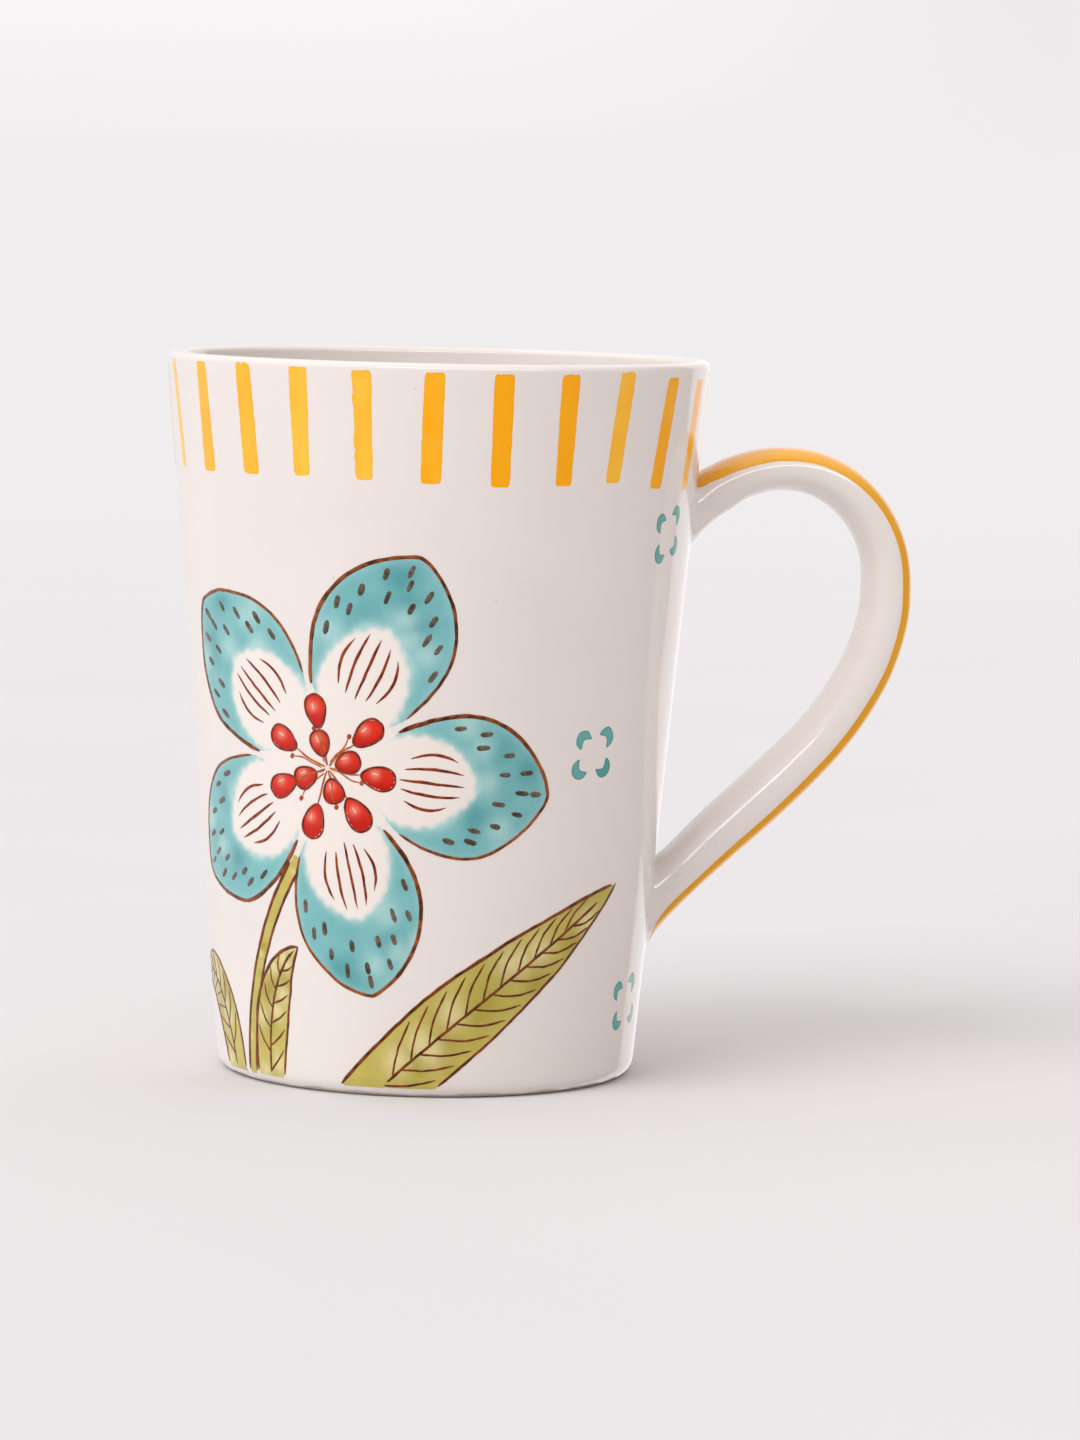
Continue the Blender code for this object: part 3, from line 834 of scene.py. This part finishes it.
# Four-stroke marks: the middles of the top left, top right, bottom left and bottom right strokes,
# and a turn in degrees
MARKS = {
    "upper": ((41.3, 93.9), (46.3, 95.0), (41.7, 88.8), (46.6, 89.9), 12.0),
    "middle": ((26.8, 58.9), (31.8, 59.2), (26.3, 54.0), (31.6, 54.1), 0.0),
    "lower": ((42.9, 15.9), (49.0, 16.7), (43.6, 10.8), (50.4, 11.3), 8.0),
}
MARK_RADIUS = 1.7
MARK_CORNERS = (("top_left", 135.0), ("top_right", 45.0), ("bottom_left", 225.0), ("bottom_right", 315.0))


def make_marks():
    """Three marks of four round strokes, each stroke with a notch that faces its mark's middle."""
    for mark, (*places, turn) in MARKS.items():
        for number, ((corner, direction), (x, z)) in enumerate(zip(MARK_CORNERS, places)):
            stretch = DRAWING_RADIUS / float(wall_radius(z))
            opening = math.radians(direction + turn + 180)
            steps = 26
            angles = opening + np.radians(np.linspace(48, 312, steps))
            radius = MARK_RADIUS * (1 + 0.05 * wobble(steps, 300 + number, 4))
            ring = np.column_stack([x + radius * np.cos(angles) * stretch, z + radius * np.sin(angles)])
            notch = np.array([[x + 0.12 * math.cos(opening), z + 0.12 * math.sin(opening)]])
            line = smooth_line(np.vstack([ring[::2], notch]), 0.16, closed=True)
            tint = 0.75 if (mark, corner) == ("middle", "bottom_right") else 0.35

            def values(flat, depth, tint=tint):
                return {"tint": tint, "edge": smoothstep(0.32, 0.0, depth)}

            patch(f"stroke_{mark}_{corner}", line, STRIPE_LIFT, 0.22, MATERIALS["teal"], "teal_enamel",
                  values, f"mark_{mark}_{corner}")


# ---- the flower
# A plain five-petalled flower of one petal shape, evenly spaced, and leaves about one bend
FLOWER_MIDDLE = np.array([-17.5, 54.0])
PETAL_DIRECTIONS = {
    "petal_lower_left": 210.0,
    "petal_upper_left": 138.0,
    "petal_top": 66.0,
    "petal_right": -6.0,
    "petal_bottom": 282.0,
}
PETAL_LENGTH = 38.0
PETAL_HALF_WIDTH = 11.6
PETAL_FULLNESS = 1.4
PETAL_ROUNDNESS = 0.68
# Where a petal's drawn edge starts, as a share of its length, and the fill's hidden base under the heart
PETAL_NOTCH = 0.30
PETAL_BASE_ALONG = (8.0, 6.5, 8.0)
PETAL_BASE_ACROSS = (-4.0, 0.0, 4.0)
PETAL_WAVER = 0.22
THROAT_LENGTH = 25.0
THROAT_HALF_WIDTH = 7.4
THROAT_NOTCH = 0.1
THROAT_WAVER = 0.4
FILL_SPACING = 0.5
OUTLINE_SPACING = 0.42
VEINS = (-0.72, -0.36, 0.0, 0.36, 0.72)
VEIN_WIDTHS = (0.36, 0.5, 0.58, 0.58, 0.5, 0.36)
# Rows of dabs: share of the petal's length, and places across its half width
DAB_ROWS = (
    (0.56, (-0.82, 0.82)), (0.68, (-0.78, -0.58, 0.58, 0.78)), (0.78, (-0.62, -0.2, 0.24, 0.6)),
    (0.87, (-0.5, 0.0, 0.5)), (0.94, (0.05,)),
)
HEART_RADIUS = 13.2
# Rings of seed heads: how many, distance from the middle, half length, half width
SEED_RINGS = ((4, 4.0, 2.1, 1.75), (7, 9.0, 2.9, 1.9))
KNOB_COUNT = 6
KNOB_DISTANCE = 6.9
# Stem and leaves: foot, bend and tip of the middle line, half width, and side veins
GREENERY = {
    "leaf_left": ((-41.6, -9.0), (-46.0, 26.0), (-66.0, 13.5), 4.3, 7),
    "leaf_middle": ((-31.6, -9.0), (-34.4, 17.0), (-24.4, 24.0), 4.1, 6),
    "leaf_right": ((-24.0, -12.0), (10.0, 18.5), (38.0, 34.5), 6.4, 12),
    "stem": ((-37.6, -2.0), (-38.6, 18.0), (-23.6, 38.8), 1.1, 0),
}
LEAF_FOOT_SHARE = 0.12
LEAF_ROUNDNESS = 0.85
PAINT_FOOT = 1.5


def petal_half_width(share, half_width):
    """A petal's half width at a share of its length."""
    return half_width * np.sin(np.pi * np.clip(share, 0, 1) ** PETAL_FULLNESS) ** PETAL_ROUNDNESS


def petal_frame(direction, along, across):
    """Drawing-plane points from places along and across a petal that points in a direction."""
    turn = math.radians(direction)
    forward = np.array([math.cos(turn), math.sin(turn)])
    along = np.asarray(along, float)[..., None]
    across = np.asarray(across, float)[..., None]
    return FLOWER_MIDDLE + along * forward + across * left_of(forward)


def petal_edge(direction, length, half_width, first, count, waver, seed):
    """A petal's edge from one side of its base round the tip to the other, with a hand's waver."""
    turn = np.linspace(-1, 1, count)
    share = first + (1 - first) * np.sin(np.pi / 2 * (1 - np.abs(turn)))
    across = -np.sign(turn) * petal_half_width(share, half_width)
    across += waver * wobble(count, seed, 7)
    return petal_frame(direction, share * length, across)


def blots(flat, places, radius):
    """Soft round places added up."""
    total = np.zeros(len(flat))
    for x, z in places:
        gap = np.hypot(flat[:, 0] - x, flat[:, 1] - z) / radius
        total = np.maximum(total, np.exp(-gap ** 2 * 1.1))
    return total


def make_petal(name, direction, lift, seed):
    """A turquoise petal with a white throat, and the outline, veins and dabs drawn on it."""
    edge = petal_edge(direction, PETAL_LENGTH, PETAL_HALF_WIDTH, PETAL_NOTCH, 90, PETAL_WAVER, seed)
    base = petal_frame(direction, PETAL_BASE_ALONG, PETAL_BASE_ACROSS)
    outline = smooth_line(np.vstack([edge[::2], base]), OUTLINE_SPACING, closed=True)
    throat = petal_edge(direction, THROAT_LENGTH, THROAT_HALF_WIDTH, THROAT_NOTCH, 50, THROAT_WAVER,
                        seed + 1)
    rng = np.random.default_rng(RNG_SEED + seed)
    pools = petal_frame(direction, rng.uniform(0.62, 0.95, 5) * PETAL_LENGTH, rng.uniform(-7, 7, 5))
    thin = petal_frame(direction, rng.uniform(0.45, 0.9, 6) * PETAL_LENGTH, rng.uniform(-10, 10, 6))

    def values(flat, depth):
        ragged = 0.25 * np.sin(flat[:, 0] * 2.3 + seed) * np.cos(flat[:, 1] * 1.9 - seed)
        from_throat = signed_distance(flat, throat)
        to_edge = segment_distance(flat, edge, False)
        wash = smoothstep(-0.3, 0.9, from_throat + ragged)
        pale = 0.75 * blots(flat, thin, 2.4) + 0.25 * smoothstep(1.6, 0.2, to_edge)
        pale += 0.45 * smoothstep(2.0, 0.2, from_throat)
        return {"wash": wash, "deep": 0.85 * blots(flat, pools, 2.8), "pale": np.clip(pale, 0, 0.85)}

    patch(name, outline, lift, FILL_SPACING, MATERIALS["turquoise"], "turquoise_enamel", values, name)
    lines = Strokes()
    weight = np.interp(np.linspace(0, 1, 30), [0, 0.35, 0.7, 1], [0.86, 0.72, 0.6, 0.52])
    pen(lines, edge[::3], weight, seed=seed, heavy=0.45 + 0.25 * wobble(30, seed + 2, 4), taper=(0.5, 0.4),
        lift=lift + ON_PAINT)
    lines.build(f"{name}_outline", MATERIALS["outline"], "olive_enamel")
    veins = Strokes()
    for number, side in enumerate(VEINS):
        start = 12.6 + 1.2 * abs(side) + rng.uniform(-0.4, 0.6)
        end = THROAT_LENGTH - 1.6 - 4.2 * side ** 2 + rng.uniform(-0.6, 0.6)
        along = np.linspace(start, end, 6)
        across = side * (4.4 + 2.0 * np.sin(np.linspace(0.2, 2.7, 6))) + rng.uniform(-0.25, 0.25)
        pen(veins, petal_frame(direction, along, across), VEIN_WIDTHS, seed=seed + 3 + number,
            heavy=0.5, taper=(0.6, 0.35), lift=lift + ON_PAINT)
    veins.build(f"{name}_veins", MATERIALS["rust"], "red_enamel")
    dabs = Strokes()
    for row, (share, places) in enumerate(DAB_ROWS):
        for number, place in enumerate(places):
            along = (share + rng.uniform(-0.012, 0.012)) * PETAL_LENGTH
            across = place * float(petal_half_width(share, PETAL_HALF_WIDTH)) + rng.uniform(-0.4, 0.4)
            x, z = petal_frame(direction, along, across)
            dab(dabs, x, z, rng.uniform(0.95, 1.25), rng.uniform(0.9, 1.12), direction + 14 * place,
                lift=lift + ON_PAINT, seed=seed + 20 + 5 * row + number, heavy=rng.uniform(0.2, 0.8))
    dabs.build(f"{name}_dabs", MATERIALS["spot"], "olive_enamel")


def bend_point(foot, bend, tip, share):
    """Places and headings on the smooth bend from foot to tip."""
    foot, bend, tip = (np.array(p, float) for p in (foot, bend, tip))
    t = np.asarray(share, float)[..., None]
    place = (1 - t) ** 2 * foot + 2 * t * (1 - t) * bend + t * t * tip
    heading = 2 * (1 - t) * (bend - foot) + 2 * t * (tip - bend)
    return place, unit(heading)


def cut_at_height(outline, height):
    """The part of an outline that lies above a height."""
    kept = []
    for a, b in zip(outline, np.roll(outline, -1, 0)):
        if a[1] >= height:
            kept.append(a)
        if (a[1] >= height) != (b[1] >= height):
            kept.append(a + (b - a) * (height - a[1]) / (b[1] - a[1]))
    return np.array(kept)


def above_foot(line):
    """The part of a line that lies above the paint's lowest height."""
    return line[line[:, 1] >= PAINT_FOOT + 0.2]


def make_greenery(name, plant, lift, seed):
    """A stem, or a leaf with veins, that follows one bend."""
    foot, bend, tip, half_width, side_veins = plant
    steps = 60
    t = np.linspace(0, 1, steps)
    place, heading = bend_point(foot, bend, tip, t)
    across = left_of(heading)
    leaf = side_veins > 0
    half = np.full(steps, half_width)
    if leaf:
        swell = np.abs(np.sin(np.pi * (LEAF_FOOT_SHARE + (1 - LEAF_FOOT_SHARE) * t)))
        half = half_width * swell ** LEAF_ROUNDNESS
    left = place + across * (half * (1 + 0.03 * wobble(steps, seed, 6)))[:, None]
    right = place - across * (half * (1 + 0.03 * wobble(steps, seed + 1, 6)))[:, None]
    whole = np.vstack([left, right[::-1][1:] if leaf else right[::-1]])
    outline = smooth_line(cut_at_height(whole, PAINT_FOOT), OUTLINE_SPACING, closed=True)
    rng = np.random.default_rng(RNG_SEED + seed)
    count = 9 if leaf else 3
    pools = bend_point(foot, bend, tip, rng.uniform(0.3, 0.95, count))[0]
    pools = pools + rng.uniform(-0.6, 0.6, (count, 2)) * half_width
    thin = bend_point(foot, bend, tip, np.linspace(0.25, 0.95, count))[0]
    thin = thin + rng.uniform(-0.8, 0.8, (count, 2)) * half_width

    def values(flat, depth):
        return {"wash": smoothstep(-0.3, 0.05, depth), "deep": 0.7 * blots(flat, pools, 0.6 * half_width),
                "pale": np.clip(0.8 * blots(flat, thin, 0.45 * half_width), 0, 0.85)}

    patch(name, outline, lift, FILL_SPACING, MATERIALS["green"], "olive_enamel", values, name)
    lines = Strokes()
    height = lift + 0.02
    pen(lines, above_foot(left)[::3], 0.66, seed=seed, heavy=0.55, taper=(0.6, 0.5), lift=height)
    pen(lines, above_foot(right)[::3], 0.56, seed=seed + 1, heavy=0.55, taper=(0.6, 0.5), lift=height)
    if leaf:
        pen(lines, above_foot(place)[:-3:3], 0.56, seed=seed + 2, heavy=0.6, taper=(0.6, 0.4), lift=height)
    for number in range(side_veins):
        share = 0.22 + 0.62 * number / side_veins
        for side, delay in ((1, 0.0), (-1, 0.025)):
            ends = np.array([share + delay, share + delay + 0.045, share + delay + 0.1])
            root, at = bend_point(foot, bend, tip, ends)
            reach = np.interp(ends, t, half) * np.array([0.02, 0.5, 0.86]) * side
            vein = root + left_of(at) * reach[:, None]
            if vein[:, 1].min() > PAINT_FOOT + 0.4:
                pen(lines, vein, 0.42, seed=seed + 5 + number, heavy=0.6, taper=(0.8, 0.4), lift=height)
    lines.build(f"{name}_lines", MATERIALS["leaf_ink"], "olive_enamel")


def seed_head(direction, distance, half_length, half_width):
    """A drop-shaped outline whose narrow end points at the flower's middle."""
    turn = np.linspace(0, 2 * np.pi, 28, endpoint=False)
    along = distance + half_length * np.cos(turn)
    across = half_width * np.sin(turn) * (1 + 0.28 * np.cos(turn))
    return smooth_line(petal_frame(direction, along, across), 0.22, closed=True)


def make_stamens():
    """A white heart with rings of red seed heads, their stalks, and small knobs between them."""
    def white(flat, depth):
        return {"wash": 0.0, "deep": 0.0, "pale": 0.0}

    turn = np.linspace(0, 2 * np.pi, 24, endpoint=False)
    ground = FLOWER_MIDDLE + HEART_RADIUS * np.stack([np.cos(turn), np.sin(turn)], 1)
    patch("flower_heart", smooth_line(ground, 0.8, closed=True), HEART_LIFT, 0.8, MATERIALS["turquoise"],
          "white_glazed_stoneware", white, "stamen_cluster")
    edges, streaks, stalks, knobs = Strokes(), Strokes(), Strokes(), Strokes()
    rng = np.random.default_rng(RNG_SEED + 400)
    number = 0
    for ring, (count, distance, half_length, half_width) in enumerate(SEED_RINGS):
        for k in range(count):
            number += 1
            direction = 360.0 * (k + 0.5 * ring) / count + 20.0 + rng.uniform(-6, 6)
            out = distance + rng.uniform(-0.5, 0.5)
            long, wide = half_length * rng.uniform(0.92, 1.06), half_width * rng.uniform(0.92, 1.04)
            line = seed_head(direction, out, long, wide)
            middle = petal_frame(direction, out, 0.0)
            glint = middle + np.array([-0.5, 0.7])

            def values(flat, depth, middle=middle, glint=glint):
                low = smoothstep(0.8, -1.6, flat[:, 1] - middle[1])
                rim = smoothstep(0.6, 0.1, depth)
                return {"wash": 1.0, "deep": np.clip(0.6 * low + 0.5 * rim, 0, 1),
                        "pale": 0.7 * blots(flat, [glint], 0.9)}

            patch(f"seed_head_{number:02d}", line, SEED_HEAD_LIFT, 0.24, MATERIALS["red"], "red_enamel",
                  values)
            pen(edges, np.vstack([line, line[:3]]), 0.4, lift=SEED_HEAD_LIFT + 0.008, seed=200 + number,
                heavy=0.7, taper=(0.9, 0.9), spacing=0.22)
            dab(streaks, *glint, 0.6, 0.22, direction, lift=SEED_HEAD_LIFT + 0.004, height=0.02,
                seed=230 + number, heavy=0.0)
            along = np.linspace(0.4, out - half_length + 0.1, 4)
            sway = rng.uniform(-0.5, 0.5) * np.sin(np.linspace(0, np.pi, 4))
            if along[-1] > 1.2:
                pen(stalks, petal_frame(direction, along, sway), 0.36, lift=STALK_LIFT, seed=260 + number,
                    heavy=0.4, taper=(0.9, 0.5))
    for k in range(KNOB_COUNT):
        direction = 360.0 * k / KNOB_COUNT + 46.0 + rng.uniform(-8, 8)
        along = np.linspace(1.0, KNOB_DISTANCE + rng.uniform(-0.6, 0.6), 4)
        pen(stalks, petal_frame(direction, along, 0.3 * np.sin(along)), 0.26, lift=STALK_LIFT,
            seed=280 + k, heavy=0.5, taper=(0.9, 0.6))
        x, z = petal_frame(direction, along[-1], 0.3 * math.sin(along[-1]))
        dab(knobs, x, z, 0.45, 0.8, 60, lift=KNOB_LIFT, seed=290 + k, heavy=0.9)
    edges.build("seed_head_outlines", MATERIALS["rust"], "red_enamel")
    streaks.build("seed_head_lights", MATERIALS["light"], "red_enamel")
    stalks.build("stalks", MATERIALS["filament"], "red_enamel")
    knobs.build("stalk_knobs", MATERIALS["filament"], "red_enamel")


# ---- studio
LENS = 145.475
CAMERA_DISTANCE = 973.0
CAMERA_HEIGHT = 150.5
CAMERA_AZIMUTH = math.radians(-8.0)
CAMERA_YAW = math.radians(1.068)
CAMERA_PITCH = math.radians(5.364)
CAMERA_ROLL = math.radians(1.255)


def make_camera():
    """The photograph's viewing angle: a long lens, a little above the rim and slightly rolled."""
    turn = Matrix.Rotation(CAMERA_AZIMUTH, 3, "Z")
    place = turn @ Vector((0.0, -CAMERA_DISTANCE, CAMERA_HEIGHT)) + Vector((AXIS_X, 0.0, 0.0))
    ahead = turn @ Vector((math.sin(CAMERA_YAW) * math.cos(CAMERA_PITCH),
                           math.cos(CAMERA_YAW) * math.cos(CAMERA_PITCH), -math.sin(CAMERA_PITCH)))
    level = turn @ Vector((math.cos(CAMERA_YAW), -math.sin(CAMERA_YAW), 0.0))
    above = level.cross(ahead)
    right = level * math.cos(CAMERA_ROLL) + above * math.sin(CAMERA_ROLL)
    up = above * math.cos(CAMERA_ROLL) - level * math.sin(CAMERA_ROLL)
    data = bpy.data.cameras.new("camera")
    data.lens = LENS
    data.clip_start = 0.05
    data.clip_end = 50.0
    camera = bpy.data.objects.new("camera", data)
    axes = Matrix((right, up, -ahead)).transposed().to_4x4()
    camera.matrix_world = Matrix.Translation(place * MM) @ axes
    bpy.context.scene.collection.objects.link(camera)
    bpy.context.scene.camera = camera


BACKDROP = srgb("f0edee")
# Light from each side, in degrees round the mug: 0 is the front, 90 the handle's side, 180 the back
SURROUNDINGS = [
    (-180, (0.95, 0.93, 0.94)), (-120, (0.92, 0.90, 0.91)), (-60, (0.88, 0.86, 0.86)),
    (0, (0.70, 0.67, 0.66)), (60, (0.60, 0.55, 0.52)), (132, (0.64, 0.59, 0.56)),
    (136, (1.20, 1.17, 1.18)), (162, (1.20, 1.17, 1.18)), (166, (0.85, 0.82, 0.83)),
    (172, (0.94, 0.925, 0.935)), (180, (0.95, 0.93, 0.94)),
]
# What the glaze mirrors: a dark room in front, bright walls at the sides and the backdrop's lit edge
MIRRORED = [
    (-180, (0.85, 0.83, 0.84)), (-128, (0.85, 0.83, 0.84)), (-118, (0.70, 0.68, 0.70)),
    (-60, (0.40, 0.38, 0.38)), (-30, (0.06, 0.06, 0.06)), (30, (0.06, 0.06, 0.06)),
    (60, (0.25, 0.22, 0.20)), (128, (0.36, 0.32, 0.30)), (131, (1.20, 1.17, 1.19)),
    (166, (1.20, 1.17, 1.19)), (172, (0.85, 0.83, 0.84)), (180, (0.85, 0.83, 0.84)),
]
CEILING = (0.98, 0.96, 0.96)
MIRRORED_CEILING = (1.15, 1.13, 1.13)
# From where to where each of these reaches, in degrees; past 90 means up to the top
CEILING_RISE = (40.0, 120.0)
WALL_RISE = (0.9, 200.0)
SOFTBOX_SIDE = (-34.0, 44.0)
SOFTBOX_RISE = (28.0, 37.0)
SOFTBOX_GLARE = (8.0, 8.0, 8.0)


def band_of(tree, value, low, high, soft):
    """1 where value lies between low and high, with soft edges."""
    edges = []
    for start, end in ((low - soft, low + soft), (high + soft, high - soft)):
        edge = add_node(tree, "ShaderNodeMapRange", {"Value": value, "From Min": start, "From Max": end})
        edges.append(edge.outputs["Result"])
    return add_maths(tree, "MULTIPLY", *edges)


def make_world():
    """A pale studio all round, with a softbox above the camera that only the glaze mirrors."""
    world = bpy.data.worlds.new("studio")
    world.use_nodes = True
    tree = world.node_tree
    place = add_node(tree, "ShaderNodeTexCoord", {})
    split = add_node(tree, "ShaderNodeSeparateXYZ", {"Vector": place.outputs["Generated"]})
    forward = add_maths(tree, "MULTIPLY", split.outputs["Y"], -1.0)
    side = add_maths(tree, "DEGREES", add_maths(tree, "ARCTAN2", split.outputs["X"], forward))
    rise = add_maths(tree, "DEGREES", add_maths(tree, "ARCSINE", split.outputs["Z"]))
    turn = add_maths(tree, "DIVIDE", add_maths(tree, "ADD", side, 180.0), 360.0)

    def ramp(stops):
        node = add_node(tree, "ShaderNodeValToRGB", {"Fac": turn})
        elements = node.color_ramp.elements
        for number, (degrees, colour) in enumerate(stops):
            where = (degrees + 180) / 360
            stop = elements[number] if number < 2 else elements.new(where)
            stop.position = where
            stop.color = (*colour, 1.0)
        return node.outputs["Color"]

    wide, high = band_of(tree, side, *SOFTBOX_SIDE, 3.0), band_of(tree, rise, *SOFTBOX_RISE, 1.5)
    softbox = add_maths(tree, "MULTIPLY", wide, high)
    overhead = band_of(tree, rise, *CEILING_RISE, 12.0)
    above_horizon = band_of(tree, rise, *WALL_RISE, 0.9)
    room = add_mix(tree, above_horizon, BACKDROP, add_mix(tree, overhead, ramp(SURROUNDINGS), CEILING))
    mirror = add_mix(tree, softbox, add_mix(tree, overhead, ramp(MIRRORED), MIRRORED_CEILING), SOFTBOX_GLARE)
    glossy = add_node(tree, "ShaderNodeLightPath", {}).outputs["Is Glossy Ray"]
    tree.links.new(add_mix(tree, glossy, room, mirror), tree.nodes["Background"].inputs["Color"])
    bpy.context.scene.world = world


FLOOR_RADII = (20000.0, 6000.0, 3000.0, 1600.0, 800.0, 300.0)
FLOOR_STEPS = 96
# Where the floor begins and ends to turn into the backdrop, in metres from the mug
FLOOR_FADE = (0.40, 1.8)
FLOOR_TONES = ((0.715, 0.702, 0.713), (0.733, 0.720, 0.731))
FLOOR_ROUGHNESS = 0.65


def make_floor():
    """A wide pale table top that runs out into the backdrop's colour."""
    finish = Finish("table_top", FLOOR_ROUGHNESS)
    finish.shader.inputs["Specular IOR Level"].default_value = 0.0
    finish.colour(finish.mix(finish.noise(6.0, 2.0, 0.3, 0.7), *FLOOR_TONES))
    glow = finish.node("ShaderNodeEmission", {"Color": BACKDROP})
    distance = finish.node("ShaderNodeVectorMath", {0: finish.place}, operation="LENGTH")
    far = finish.spread(distance.outputs["Value"], *FLOOR_FADE)
    table = finish.shader.outputs["BSDF"]
    blend = finish.node("ShaderNodeMixShader", {"Fac": far, 1: table, 2: glow.outputs["Emission"]})
    finish.link(blend.outputs["Shader"], finish.tree.nodes["Material Output"].inputs["Surface"])
    turn = 2 * math.pi * np.arange(FLOOR_STEPS) / FLOOR_STEPS
    rings = [(radius * math.cos(a), radius * math.sin(a), 0.0) for radius in FLOOR_RADII for a in turn]
    middle = range(len(rings) - FLOOR_STEPS, len(rings))
    floor = add_mesh("floor", rings, [*tube_faces(len(FLOOR_RADII), FLOOR_STEPS), middle], finish.material)
    floor.visible_glossy = False


KEY_FROM = (-0.80, -0.62, 0.85)
KEY_SPREAD = math.radians(44.0)
KEY_STRENGTH = 1.30


def make_lights():
    """A broad window light from the front left."""
    data = bpy.data.lights.new("window", "SUN")
    data.energy = KEY_STRENGTH
    data.angle = KEY_SPREAD
    data.color = (1.0, 0.985, 0.975)
    lamp = bpy.data.objects.new("window", data)
    lamp.rotation_mode = "QUATERNION"
    lamp.rotation_quaternion = (-Vector(KEY_FROM)).to_track_quat("-Z", "Y")
    lamp.visible_glossy = False
    bpy.context.scene.collection.objects.link(lamp)


def main():
    make_camera()
    make_world()
    make_floor()
    make_lights()
    make_cup()
    make_handle()
    make_stripes()
    make_marks()
    for number, (name, plant) in enumerate(GREENERY.items()):
        make_greenery(name, plant, GREENERY_LIFT + LAYER_STEP * number, 400 + 40 * number)
    for number, (name, direction) in enumerate(PETAL_DIRECTIONS.items()):
        make_petal(name, direction, PETAL_LIFT + LAYER_STEP * number, 600 + 40 * number)
    make_stamens()
    bpy.context.scene.view_settings.view_transform = "Standard"


main()
